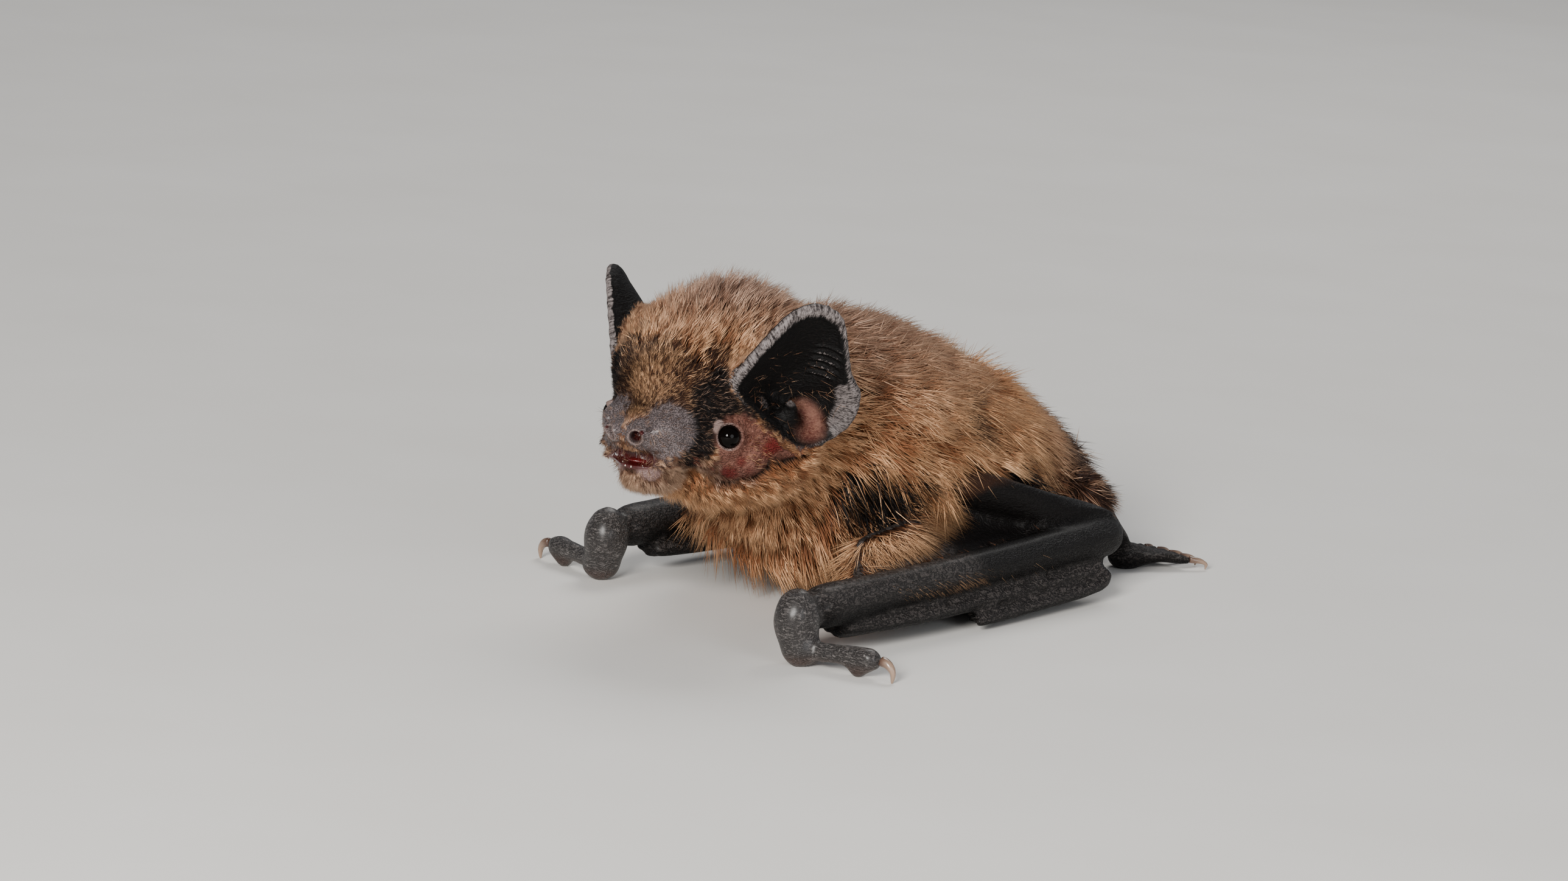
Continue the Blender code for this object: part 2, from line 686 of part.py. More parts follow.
def add_wing(bat, side, word):
    wing = Wing(side)
    wrist, thumb, forearm = (f"{word}_{name}" for name in ("wrist", "thumb", "forearm"))
    bat.add(wing.wrist_knob(wrist))
    bat.add(wing.thumb(thumb), wrist)
    bat.add(wing.thumb_claw(f"{word}_thumb_claw"), thumb, room=False)
    bat.add(wing.forearm(forearm), wrist, "body")
    solid = ["body", wrist, thumb, forearm]
    for rank in range(3):
        name = f"{word}_finger_{rank + 3}"
        bat.add(wing.finger(rank, name), *solid)
        solid.append(name)
    upper_arm, arm_skin, flank_skin = (f"{word}_{name}" for name in ("upper_arm", "arm_skin", "flank_skin"))
    bat.add(wing.upper_arm(upper_arm), "body", forearm)
    solid.append(upper_arm)
    bat.add(wing.arm_skin(arm_skin), *solid)
    bat.add(wing.flank_skin(flank_skin), *solid, arm_skin)


def add_leg(bat, side, word):
    near = [f"{word}_{name}" for name in ("forearm", "upper_arm", "arm_skin", "flank_skin", "finger_4", "finger_5")]
    thigh, shin, foot = (f"{word}_{name}" for name in ("thigh", "shin", "foot"))
    bat.add(make_thigh(side, thigh), "body", *near)
    bat.add(make_foot(side, foot), *near)
    bat.add(make_shin(side, shin), "body", thigh, foot, *near)
    for rank in range(5):
        bat.add(make_toe_claw(side, rank, f"{word}_toe_claw_{rank + 1}"), foot, room=False)


def make_bat():
    bat = Assembly()
    parts, bat.rooms["body"] = part_body()
    jaw = part_jaw(parts["head"])
    bat.pieces |= {name: parts[name] for name in ("neck", "chest", "abdomen")}
    add_head(bat, parts["head"], jaw)
    for side, word in SIDES:
        add_wing(bat, side, word)
        add_leg(bat, side, word)
    bat.add(make_tail(), "body")
    for side, word in SIDES:
        near = [f"{word}_{name}" for name in ("shin", "foot", "flank_skin")]
        bat.add(make_tail_skin(side, f"{word}_tail_skin"), "body", "tail", *near)
    return bat.pieces


def centre_origin(obj):
    low, high = (Vector(map(pick, zip(*(v.co for v in obj.data.vertices)))) for pick in (min, max))
    obj.location = (low + high) / 2
    obj.data.transform(Matrix.Translation(-obj.location))


def main():
    root = bpy.data.objects.new("bat_root", None)
    BAT.objects.link(root)
    for obj in make_bat().values():
        if min(v.co.z for v in obj.data.vertices) < 0:
            edit(obj, slice_off, (0, 0, 0), (0, 0, -1))
        edit(obj, tidy_faces)
        centre_origin(obj)
        obj.data.shade_smooth()
        obj.parent = root
    root.location = FRAME_SHIFT * MM


main()
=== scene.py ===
# %% [markdown]
# # A small brown bat, resting on its wrists
# The carved model from the CAD step gives every outline: a bat about five centimetres long that
# has folded its wings and stands on its wrists, thumbs and feet. This lesson dresses it. One skin
# is drawn over all the flesh, the face and ears are sculpted into it, and a coat of solid tufts
# is planted on it. Sizes below are in millimetres unless they say metres.

# %% Load the carved model
import math

import bpy
import numpy as np
from mathutils import Matrix, Vector
from mathutils.bvhtree import BVHTree
from mathutils.kdtree import KDTree


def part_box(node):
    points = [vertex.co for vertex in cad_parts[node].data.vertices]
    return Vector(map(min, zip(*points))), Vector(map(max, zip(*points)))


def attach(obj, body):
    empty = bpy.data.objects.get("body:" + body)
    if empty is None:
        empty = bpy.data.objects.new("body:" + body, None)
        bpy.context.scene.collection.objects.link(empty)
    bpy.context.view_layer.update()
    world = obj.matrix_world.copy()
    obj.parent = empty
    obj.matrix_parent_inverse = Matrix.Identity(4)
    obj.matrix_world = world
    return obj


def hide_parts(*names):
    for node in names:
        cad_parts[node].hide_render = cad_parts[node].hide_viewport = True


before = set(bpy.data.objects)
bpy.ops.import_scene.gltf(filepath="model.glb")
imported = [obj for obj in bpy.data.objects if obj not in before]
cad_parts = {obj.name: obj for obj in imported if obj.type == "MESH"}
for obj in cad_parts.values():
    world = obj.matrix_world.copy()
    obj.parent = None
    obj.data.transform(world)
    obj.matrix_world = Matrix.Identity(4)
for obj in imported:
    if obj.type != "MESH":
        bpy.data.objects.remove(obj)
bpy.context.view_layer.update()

MM = 0.001

# %% [markdown]
# ## Where the head is
# A face is easiest to sculpt in its own axes. The two eyeballs are solid parts whose boxes can be
# read, so they tell how far the head is turned and where its centre lies. The trunk keeps the
# model's axes: nose towards -Y, the bat's left towards +X, floor at height 0.

# %% Axes of the head and the trunk
EYE_IN_HEAD = Vector((4.25, -3.9, -0.8))
HEAD_IN_TRUNK = Vector((2.0, -9.0, 13.5))

left_eye = (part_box("left_eye")[0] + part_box("left_eye")[1]) / 2
right_eye = (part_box("right_eye")[0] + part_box("right_eye")[1]) / 2
across_face = (left_eye - right_eye).normalized()
head_turn = math.atan2(across_face.y, across_face.x)
head_spin = Matrix.Rotation(head_turn, 3, "Z")
between_eyes = Vector((0, EYE_IN_HEAD.y, EYE_IN_HEAD.z)) * MM
head_origin = (left_eye + right_eye) / 2 - head_spin @ between_eyes
trunk_origin = head_origin - HEAD_IN_TRUNK * MM
HEAD_AXES = np.array(head_spin)
print("head turned by", round(math.degrees(head_turn), 2), "degrees")


def in_trunk(points):
    """Points of the model as millimetres in the trunk's axes."""
    return (np.asarray(points) - np.array(trunk_origin)) / MM


def in_head(points):
    """Points of the model as millimetres in the head's axes."""
    return (np.asarray(points) - np.array(head_origin)) @ HEAD_AXES / MM


def from_head(points):
    """Points in the head's axes back in the model's metres."""
    return np.asarray(points) * MM @ HEAD_AXES.T + np.array(head_origin)


# %% [markdown]
# ## Camera
# The bat is seen from its front left and a little above, from close by: the camera stands 36 cm
# away and frames a strip less than 10 cm wide.

# %% Camera
VIEW_TURN = math.radians(40.3)
VIEW_LIFT = math.radians(11.0)
VIEW_ROLL = math.radians(3.8)
VIEW_DISTANCE = 0.360
VIEW_WIDTH = 0.0954
SENSOR_WIDTH = 36


def show(obj):
    bpy.context.scene.collection.objects.link(obj)


def towards(turn, lift):
    """The direction to a place turned round the bat from its nose and lifted above the floor."""
    return Vector((math.sin(turn) * math.cos(lift), -math.cos(turn) * math.cos(lift), math.sin(lift)))


aim = trunk_origin + Vector((0, 0, 10)) * MM
back = towards(VIEW_TURN, VIEW_LIFT)
right = Vector((math.cos(VIEW_TURN), math.sin(VIEW_TURN), 0))
above = back.cross(right)
rolled_right = right * math.cos(VIEW_ROLL) + above * math.sin(VIEW_ROLL)
rolled_up = above * math.cos(VIEW_ROLL) - right * math.sin(VIEW_ROLL)
turn = Matrix((rolled_right, rolled_up, back)).transposed().to_4x4()
lens_data = bpy.data.cameras.new("view_camera")
lens_data.sensor_width = SENSOR_WIDTH
lens_data.lens = SENSOR_WIDTH * VIEW_DISTANCE / VIEW_WIDTH
lens_data.clip_start = 0.01
camera = bpy.data.objects.new("view_camera", lens_data)
camera.matrix_world = Matrix.Translation(aim + back * VIEW_DISTANCE) @ turn
show(camera)
bpy.context.scene.camera = camera
print("camera height, mm:", round(camera.location.z / MM, 1), "lens:", round(lens_data.lens))

# %% [markdown]
# ## Shader maths
# Patterns are sums and products of noise and of masks stored in the meshes. Wrapping a socket in
# one small class lets them be written as sums, and one method makes every other kind of node.

# %% Wire
class Wire:
    """A node's output that can be added, multiplied and passed on."""

    def __init__(self, tree, socket=None):
        self.tree = tree
        self.socket = socket

    def node(self, kind, settings, values, out=0):
        made = self.tree.nodes.new(kind)
        for name, value in settings.items():
            setattr(made, name, value)
        for name, value in values.items():
            if isinstance(value, Wire):
                self.tree.links.new(value.socket, made.inputs[name])
            else:
                made.inputs[name].default_value = value
        return Wire(self.tree, made.outputs[out])

    def math(self, operation, other):
        return self.node("ShaderNodeMath", {"operation": operation}, {0: self, 1: other})

    def __add__(self, other):
        return self.math("ADD", other)

    def __mul__(self, other):
        return self.math("MULTIPLY", other)

    def __sub__(self, other):
        return self.math("SUBTRACT", other)

    def __rsub__(self, other):
        return self * -1 + other

    __radd__ = __add__
    __rmul__ = __mul__

    def crease(self):
        """0 along winding lines where this passes the middle, rising to 1 beside them."""
        return (self - 0.5).math("ABSOLUTE", 0).between(0.0, 0.14)

    def between(self, low, high):
        """0 below low, 1 above high, smooth between them."""
        settings = {"interpolation_type": "SMOOTHSTEP", "clamp": True}
        limits = {"Value": self, "From Min": low, "From Max": high}
        return self.node("ShaderNodeMapRange", settings, limits)

    def stored(self, name):
        """A mask that a mesh keeps for each of its points."""
        return self.node("ShaderNodeAttribute", {"attribute_name": name}, {}, "Fac")

    def noise(self, place, scale, detail=2.0, rough=0.5):
        values = {"Vector": place, "Scale": scale, "Detail": detail, "Roughness": rough}
        return self.node("ShaderNodeTexNoise", {}, values, "Fac")

    def cells(self, place, scale, feature="F1"):
        values = {"Vector": place, "Scale": scale}
        return self.node("ShaderNodeTexVoronoi", {"feature": feature}, values, "Distance")

    def blend(self, first, second):
        """The first colour where this is 0, the second where it is 1."""
        return self.node("ShaderNodeMix", {"data_type": "RGBA"}, {0: self, 6: first, 7: second}, 2)

# %% Tones and materials
def tone(red, green, blue):
    """A colour as it looks, 0 to 255, in the shader's linear light."""
    linear = [(c / 255 / 12.92) if c < 10 else ((c / 255 + 0.055) / 1.055) ** 2.4 for c in (red, green, blue)]
    return (*linear, 1.0)


def new_material(name, **constants):
    """A material, its wire to build from, and its shader with constants on its own sockets."""
    material = bpy.data.materials.new(name)
    material.use_nodes = True
    shader = material.node_tree.nodes["Principled BSDF"]
    for socket, value in constants.items():
        shader.inputs[socket.replace("_", " ")].default_value = value
    return material, Wire(material.node_tree), shader


def plug(shader, **wires):
    """Links wires to the shader's sockets."""
    for socket, wire in wires.items():
        wire.tree.links.new(wire.socket, shader.inputs[socket.replace("_", " ")])


def object_place(wire):
    return wire.node("ShaderNodeTexCoord", {}, {}, "Object")


# %% [markdown]
# ## Floor and light
# A pale matt table and three soft lights: the main one beside the camera and a little above it, a
# weaker one on the right to open the shadows, and one behind for the edge of the coat.

# %% Floor
FLOOR_SIZE = 2.4


def new_solid(add, **sizes):
    """A new primitive, added with nothing else selected, because operators act on all that is."""
    bpy.ops.object.select_all(action="DESELECT")
    add(**sizes)
    return bpy.context.object


floor = new_solid(bpy.ops.mesh.primitive_plane_add, size=FLOOR_SIZE, location=(0, 0, 0))
floor.name = "pale_floor"
floor_finish, wire, shader = new_material("floor_matt", Roughness=0.75)
grain = wire.noise(object_place(wire), 60, 4)
plug(shader, Base_Color=grain.blend(tone(222, 219, 213), tone(232, 230, 226)))
floor.data.materials.append(floor_finish)
print("floor, metres across:", FLOOR_SIZE)

# %% Lights
world = bpy.data.worlds.new("studio")
world.use_nodes = True
world.node_tree.nodes["Background"].inputs["Color"].default_value = (0.80, 0.85, 0.95, 1)
world.node_tree.nodes["Background"].inputs["Strength"].default_value = 0.22
bpy.context.scene.world = world


def soft_light(name, turn_degrees, lift_degrees, distance, size, power, colour):
    """A round soft light that looks at the bat from a direction given as for the camera."""
    away = towards(math.radians(turn_degrees), math.radians(lift_degrees))
    data = bpy.data.lights.new(name, "AREA")
    data.shape = "DISK"
    data.size = size
    data.energy = power
    data.color = colour
    light = bpy.data.objects.new(name, data)
    light.location = aim + away * distance
    light.rotation_euler = away.to_track_quat("Z", "Y").to_euler()
    show(light)


soft_light("main_light", 25, 21, 0.40, 0.12, 2.5, (1.0, 0.97, 0.93))
soft_light("fill_light", 75, 14, 0.45, 0.25, 0.7, (0.95, 0.97, 1.0))
soft_light("edge_light", 205, 50, 0.45, 0.25, 0.9, (1.0, 0.98, 0.95))
print("lights:", [light.name for light in bpy.data.lights])

# %% [markdown]
# ## One skin over all the flesh
# A real skin has no seams, but the carved model is in pieces with hair-wide gaps. Each piece of
# flesh is copied, merged, rounded by one subdivision and swollen a little, so that neighbours
# overlap, and a voxel remesh draws one closed surface round them all. The eyes are lent to it so
# that no pit is left where the lids will be, and a small pad closes the lips at each side.

# %% Tools for meshes
def choose(*objects):
    bpy.ops.object.select_all(action="DESELECT")
    for obj in objects:
        obj.select_set(True)
    bpy.context.view_layer.objects.active = objects[0]


def edit(obj, *steps):
    """Runs edit-mode operators on everything in one object."""
    choose(obj)
    bpy.ops.object.mode_set(mode="EDIT")
    bpy.ops.mesh.select_all(action="SELECT")
    for step in steps:
        step()
    bpy.ops.object.mode_set(mode="OBJECT")


def apply_modifier(obj, kind, **settings):
    choose(obj)
    bpy.ops.object.modifier_add(type=kind)
    modifier = obj.modifiers[-1]
    for name, value in settings.items():
        setattr(modifier, name, value)
    bpy.ops.object.modifier_apply(modifier=modifier.name)


def merged_copy(node, name, levels=1):
    """A copy of a carved node with its points merged and its facets rounded."""
    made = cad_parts[node].copy()
    made.data = made.data.copy()
    made.name = name
    made.parent = None
    for key in list(made.keys()):
        del made[key]
    made.data.materials.clear()
    show(made)
    edit(made, lambda: bpy.ops.mesh.remove_doubles(threshold=1e-6))
    if levels:
        apply_modifier(made, "SUBSURF", levels=levels, render_levels=levels)
    return made


def points_of(mesh, what="co"):
    flat = np.empty(len(mesh.vertices) * 3, np.float32)
    mesh.vertices.foreach_get(what, flat)
    return flat.reshape(-1, 3).astype(float)


def normals_of(mesh):
    return points_of(mesh, "normal")


def set_points(mesh, points):
    mesh.vertices.foreach_set("co", np.ascontiguousarray(points, np.float32).ravel())
    mesh.update()


# %% Copies of the flesh
SWELL = {"head": 0.17, "lower_jaw": 0.17, "left_eye": 0.3, "right_eye": 0.3}
USUAL_SWELL = 0.25
flesh_names = sorted(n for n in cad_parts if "claw" not in n and "eye" not in n and n != "tongue")
copies = []
for node in flesh_names + ["left_eye", "right_eye"]:
    piece = merged_copy(node, "flesh_" + node)
    swell = SWELL.get(node, USUAL_SWELL) * MM
    set_points(piece.data, points_of(piece.data) + normals_of(piece.data) * swell)
    copies.append(piece)
LIP_PAD = ((1.85, -6.05, -2.75), (0.98, 1.8, 0.62))
for side in (1, -1):
    pad = new_solid(bpy.ops.mesh.primitive_uv_sphere_add, segments=24, ring_count=12, radius=1)
    placed = points_of(pad.data) * LIP_PAD[1] + np.array(LIP_PAD[0]) * (side, 1, 1)
    set_points(pad.data, from_head(placed))
    copies.append(pad)
print("pieces of flesh:", len(copies))

# %% Draw the skin round them
VOXEL = 0.24 * MM
choose(*copies)
bpy.ops.object.join()
skin = bpy.context.object
skin.name = "bat_skin"
skin.data.name = "bat_skin"
skin.data.remesh_voxel_size = VOXEL
skin.data.remesh_voxel_adaptivity = 0
bpy.ops.object.voxel_remesh()
print("skin after the remesh:", len(skin.data.polygons), "faces")

# %% Smooth away the steps of the remesh
def edges_of(mesh):
    flat = np.empty(len(mesh.edges) * 2, np.int32)
    mesh.edges.foreach_get("vertices", flat)
    return flat.reshape(-1, 2)


class Neighbours:
    """Averages values over each point's neighbours along the mesh's edges."""

    def __init__(self, mesh):
        self.edges = edges_of(mesh)
        self.count = len(mesh.vertices)
        both = np.concatenate((self.edges[:, 0], self.edges[:, 1]))
        self.sharing = np.maximum(np.bincount(both, minlength=self.count), 1)

    def average(self, values):
        first, second = self.edges[:, 0], self.edges[:, 1]
        out = np.empty_like(values)
        columns = values.reshape(self.count, -1)
        for column in range(columns.shape[1]):
            given = columns[:, column]
            total = np.bincount(first, given[second], self.count)
            total += np.bincount(second, given[first], self.count)
            out.reshape(self.count, -1)[:, column] = total / self.sharing
        return out

    def spread(self, values, times, keep=0.0):
        for _ in range(times):
            values = values * keep + self.average(values) * (1 - keep)
        return values


SKIN_ROUNDS = 4
around = Neighbours(skin.data)
points = points_of(skin.data)
for _ in range(SKIN_ROUNDS):
    points = around.spread(points, 1, 0.45)
    points = points + (points - around.average(points)) * 0.35
set_points(skin.data, points)
print("points smoothed:", len(points))

# %% [markdown]
# ## What each place on the skin belongs to
# The coat, the bare face and the leather of the wings differ in depth and colour. Each point of
# the skin asks which carved node lies nearest, and the answers are kept in the mesh as soft
# masks, which later subdivisions carry along by themselves.

# %% Masks from the carved nodes
KINDS = {"head": ("head", "lower_jaw"), "ear": ("ear",), "tragus": ("tragus",),
         "trunk": ("neck", "chest", "abdomen"), "arm": ("upper_arm",), "thigh": ("thigh",),
         "fore": ("forearm", "finger_3", "finger_4", "finger_5"), "wrist": ("wrist", "thumb"),
         "foot": ("foot", "shin"), "apron": ("arm_skin",), "web": ("flank_skin", "tail_skin", "tail")}
kind_names = list(KINDS)
corner_points, corner_faces, face_kind = [], [], []
for node in flesh_names:
    bare_name = node.replace("left_", "").replace("right_", "")
    kind = next(i for i, k in enumerate(kind_names) if bare_name in KINDS[k])
    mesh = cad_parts[node].data
    start = len(corner_points)
    corner_points += [v.co.copy() for v in mesh.vertices]
    corner_faces += [[start + i for i in p.vertices] for p in mesh.polygons]
    face_kind += [kind] * len(mesh.polygons)
carved = BVHTree.FromPolygons(corner_points, corner_faces)


def keep(mesh, name, values):
    """Stores one number for each point of a mesh."""
    layer = mesh.attributes.get(name) or mesh.attributes.new(name, "FLOAT", "POINT")
    layer.data.foreach_set("value", np.ascontiguousarray(values, np.float32))


def kept(mesh, name):
    values = np.empty(len(mesh.vertices), np.float32)
    mesh.attributes[name].data.foreach_get("value", values)
    return values.astype(float)


nearest = np.array([face_kind[carved.find_nearest(v.co)[2]] for v in skin.data.vertices])
kind_mask = {name: (nearest == i).astype(float) for i, name in enumerate(kind_names)}
print({name: int(mask.sum()) for name, mask in kind_mask.items()})

# %% [markdown]
# ## Zones of the face
# Each zone is a few soft balls in the head's axes, the same on both sides: grey granular skin on
# the muzzle, a dark band from muzzle to ear, and bare pink skin from the eye to the ear and to
# the corner of the mouth. Skin and coat ask the same function, so their markings agree.

# %% Soft balls for the zones
ZONES = {
    "pink": ((4.9, -3.5, -1.2, 1.75), (6.0, -2.0, -1.3, 1.15), (4.7, -3.5, -2.6, 1.25),
             (5.8, -0.8, -1.7, 1.0), (6.3, 0.6, -1.8, 0.9), (5.6, -2.5, -2.6, 1.0)),
    "flushed": ((6.2, -1.8, -1.5, 0.75), (4.3, -3.8, -3.4, 0.8), (3.3, -4.2, -4.0, 0.9),
                (5.0, -3.4, -2.3, 0.3), (5.5, -3.0, -3.1, 0.5)),
    "sparse": ((3.9, -3.8, -3.6, 1.1), (3.0, -4.5, -4.0, 0.9), (3.2, -4.8, -2.8, 0.8), (5.2, -2.9, -3.4, 0.9),
               (4.4, -3.3, -4.1, 0.9), (3.1, -5.5, -2.7, 0.8), (3.9, -4.6, -2.5, 0.6)),
    "dusky": ((3.3, -5.3, 0.3, 0.95), (3.3, -5.5, -1.2, 0.8), (4.0, -4.5, 1.0, 0.95),
              (4.9, -3.0, 1.0, 0.85), (5.4, -1.6, 0.1, 0.6), (2.9, -6.0, -2.0, 0.6), (3.2, -5.4, 1.6, 0.8),
              (3.7, -4.6, 2.4, 0.7), (4.0, -4.9, -0.7, 0.6)),
    "muzzle": ((1.9, -6.7, -0.5, 1.65), (0.9, -8.1, -0.7, 1.05), (2.0, -6.2, -1.6, 1.0),
               (1.2, -7.7, -1.7, 0.75)),
    "lip": ((1.3, -7.2, -3.2, 0.8),),
    "temple": ((2.7, -5.9, 1.9, 1.9), (1.2, -6.4, 2.8, 0.8), (3.2, -4.4, 4.2, 1.5)),
}


def ease(start, end, value):
    """0 at start, 1 at end, smooth between them."""
    t = np.clip((value - start) / (end - start), 0, 1)
    return t * t * (3 - 2 * t)


def lengths(vectors):
    return np.linalg.norm(vectors, axis=1)


def on_left(points):
    """Points with both sides laid on the left one."""
    folded = np.array(points)
    folded[:, 0] = np.abs(folded[:, 0])
    return folded


def in_balls(given, balls, outer, inner):
    """How much points lie in soft balls, on either side of the middle plane."""
    folded = on_left(given)
    gaps = [lengths(folded - ball[:3]) for ball in balls]
    return np.maximum.reduce([ease(ball[3] + outer, ball[3] - inner, gap)
                              for ball, gap in zip(balls, gaps)])


def zone(name, head_points, soft=0.35):
    """How much each point lies in a zone of the face."""
    return in_balls(head_points, ZONES[name], soft, soft)


# %% [markdown]
# ## The coat's depth
# The carved model reaches to the tips of the coat, so the skin lies deeper where the coat is
# thick: about two millimetres on the back, less on the crown and cheeks, and nothing on ears,
# muzzle, wrists and wings. The depth is spread over the surface so that it changes softly.

# %% Sink the skin by the coat's depth
NODE_DEPTH = {"trunk": 2.2, "arm": 0.5, "thigh": 0.9}
HEAD_DEPTH = 1.9
CHIN_DEPTH = 0.6
DEPTH_ROUNDS, NORMAL_ROUNDS, SUNK_ROUNDS, MASK_ROUNDS = 45, 12, 14, 3
SWELL_TAKEN_BACK = 0.17


def unit(vectors):
    return vectors / np.maximum(lengths(vectors), 1e-9)[:, None]


places = in_head(points_of(skin.data))
depth = sum(kind_mask[name] * NODE_DEPTH[name] for name in NODE_DEPTH)
bare = np.maximum.reduce([zone(n, places, 0.45) for n in ("pink", "muzzle", "lip", "dusky", "sparse")])
front_to_crown = ease(-7.2, -3.2, places[:, 1])
under_chin = ease(-3.2, -4.4, places[:, 2]) * ease(-8.5, -5.0, places[:, 1])
head_depth = np.maximum(HEAD_DEPTH * front_to_crown, CHIN_DEPTH * under_chin) * (1 - bare)
depth = depth + kind_mask["head"] * np.maximum(head_depth, 0.06)
thin = sum(kind_mask[name] for name in ("ear", "tragus", "fore", "wrist", "foot", "apron", "web"))
neighbours = Neighbours(skin.data)
for _ in range(DEPTH_ROUNDS):
    depth = neighbours.average(depth) * (1 - thin)
smooth_normals = unit(neighbours.spread(normals_of(skin.data), NORMAL_ROUNDS))
sunk = points_of(skin.data) - normals_of(skin.data) * SWELL_TAKEN_BACK * MM
sunk -= smooth_normals * depth[:, None] * MM
under_coat = ease(0.3, 1.2, depth)
for _ in range(SUNK_ROUNDS):
    sunk += (neighbours.average(sunk) - sunk) * under_coat[:, None] * 0.6
set_points(skin.data, sunk)
keep(skin.data, "depth", depth)
for name in kind_names:
    keep(skin.data, name, neighbours.spread(kind_mask[name], MASK_ROUNDS))
print("deepest coat, mm:", round(depth.max(), 2))

# %% [markdown]
# ## Fine mesh where it shows, coarse mesh under the coat
# Points are spent where they are seen. Skin under thick coat and on the wings is thinned, and the
# face, ears, nostrils and lids are subdivided, some of them twice or three times, before they are
# sculpted.

# %% Tools for thinning and refining
def select_points(obj, mask):
    choose(obj)
    bpy.ops.object.mode_set(mode="EDIT")
    bpy.ops.mesh.select_mode(type="VERT")
    bpy.ops.mesh.select_all(action="DESELECT")
    bpy.ops.object.mode_set(mode="OBJECT")
    obj.data.vertices.foreach_set("select", np.ascontiguousarray(mask, bool))
    bpy.ops.object.mode_set(mode="EDIT")


def thin_out(obj, mask, ratio):
    select_points(obj, mask)
    bpy.ops.mesh.decimate(ratio=ratio)
    bpy.ops.object.mode_set(mode="OBJECT")


def refine(obj, mask):
    select_points(obj, mask)
    bpy.ops.mesh.subdivide(number_cuts=1, smoothness=0.6)
    bpy.ops.object.mode_set(mode="OBJECT")


# %% Thin the hidden skin and refine the face
NOSTRIL = np.array((1.05, -8.6, -0.90))
NOSTRIL_SLIT = np.array((1.62, -8.05, -0.22))
EYE = np.array(EYE_IN_HEAD)


def to_segment(p, start, end):
    """Distance from points to the line between two places."""
    line = end - start
    share = np.clip(((p - start) @ line) / (line @ line), 0, 1)
    return lengths(p - start - share[:, None] * line)


def folded_head(mesh):
    """Head coordinates with both sides laid on the left one, and which side each point is on."""
    p = in_head(points_of(mesh))
    return on_left(p), np.where(p[:, 0] < 0, -1.0, 1.0)


THINNING = (("depth", 0.8, 0.13), ("web", 0.6, 0.35), ("fore", 0.6, 0.55), ("apron", 0.6, 0.4))
for name, above, ratio in THINNING:
    thin_out(skin, kept(skin.data, name) > above, ratio)
p, side = folded_head(skin.data)
on_face = (kept(skin.data, "head") > 0.5) & (kept(skin.data, "depth") < 0.5) & (p[:, 1] < 1)
refine(skin, on_face | (kept(skin.data, "ear") > 0.4))
p, side = folded_head(skin.data)
near_eye = lengths(p - EYE) < 1.75
near_nose = to_segment(p, NOSTRIL, NOSTRIL_SLIT) < 0.75
near_lips = (np.abs(p[:, 2] + 2.6) < 0.9) & (p[:, 1] < -5.4) & (kept(skin.data, "head") > 0.5)
refine(skin, near_eye | near_nose | near_lips)
p, side = folded_head(skin.data)
refine(skin, (to_segment(p, NOSTRIL, NOSTRIL_SLIT) < 0.5))
print("skin after refining:", sum(len(face.vertices) - 2 for face in skin.data.polygons), "triangles")

# %% [markdown]
# ## Sculpt the face
# Lids, nostrils, the line of the lips and the pads of the muzzle are moves of points by their
# distance from a few landmarks, as a sculptor's brush would make them.

# %% Eyelids
def direction(*way):
    return np.array(way) / np.linalg.norm(way)


def round_axis(offsets, look):
    """How far offsets reach along a direction, what is left across it, and the length of that."""
    along = offsets @ look
    flat = offsets - along[:, None] * look
    return along, flat, lengths(flat)


def move(mesh, head_points, side):
    """Writes folded head coordinates back into the mesh."""
    unfolded = head_points * np.stack((side, np.ones_like(side), np.ones_like(side)), axis=1)
    set_points(mesh, from_head(unfolded))


EYE_LOOK = direction(0.80, -0.57, 0.17)
p, side = folded_head(skin.data)
height, flat, radius = round_axis(p - EYE, EYE_LOOK)
profile_at = (0.0, 0.46, 0.64, 0.73, 0.84, 1.0, 1.25, 1.7)
profile_height = (-0.30, -0.15, 0.16, 0.38, 0.42, 0.28, 0.16, 0.22)
target = np.interp(radius, profile_at, profile_height)
hold = ease(1.6, 0.85, radius) * (height > -1.2)
height = height + (target - height) * hold
p = EYE + flat + height[:, None] * EYE_LOOK
WART = np.array((4.05, -4.62, -0.12))
wart = np.exp(-((p[:, 0] - WART[0]) ** 2 + (p[:, 1] - WART[1]) ** 2) / 0.05
              - ((p[:, 2] - WART[2]) / 0.42) ** 2)
p += EYE_LOOK * (0.36 * wart * ease(0.72, 0.9, radius))[:, None]
move(skin.data, p, side)
print("points in the lids:", int((radius < 1.0).sum()))

# %% Nostrils
def bell(value, middle, width):
    """1 at the middle, falling to nearly nothing two widths away on either side."""
    return np.exp(-((value - middle) / width) ** 2)


def to_path(p, path):
    """Distance from points to the nearest piece of a path."""
    return np.min([to_segment(p, np.array(a), np.array(b)) for a, b in zip(path, path[1:])], axis=0)


NOSE_LOOK = direction(0.50, -0.84, 0.05)
p, side = folded_head(skin.data)
on_nose = (p[:, 1] < -7.0).astype(float) * ease(0.0, 0.25, p[:, 0])
nose_height, _, hole = round_axis(p - NOSTRIL, NOSE_LOOK)
slit = to_segment(p, NOSTRIL, NOSTRIL_SLIT)
in_front = (nose_height > -0.9).astype(float)
pit = ease(0.40, 0.20, hole) * 0.85
cut = ease(0.19, 0.07, slit) * 0.42
rim = bell(hole, 0.46, 0.10) * 0.17 + bell(slit, 0.27, 0.09) * 0.10
PAD_GROOVE = ((1.62, -8.05, -0.22), (1.55, -7.75, 0.25), (1.05, -7.55, 0.55))
groove = to_path(p, PAD_GROOVE)
rim -= ease(0.42, 0.05, groove) * 0.24
p += NOSE_LOOK * ((rim - np.maximum(pit, cut)) * on_nose * in_front)[:, None]
move(skin.data, p, side)
print("points in the nostrils:", int((pit * on_nose * in_front > 0.1).sum()))

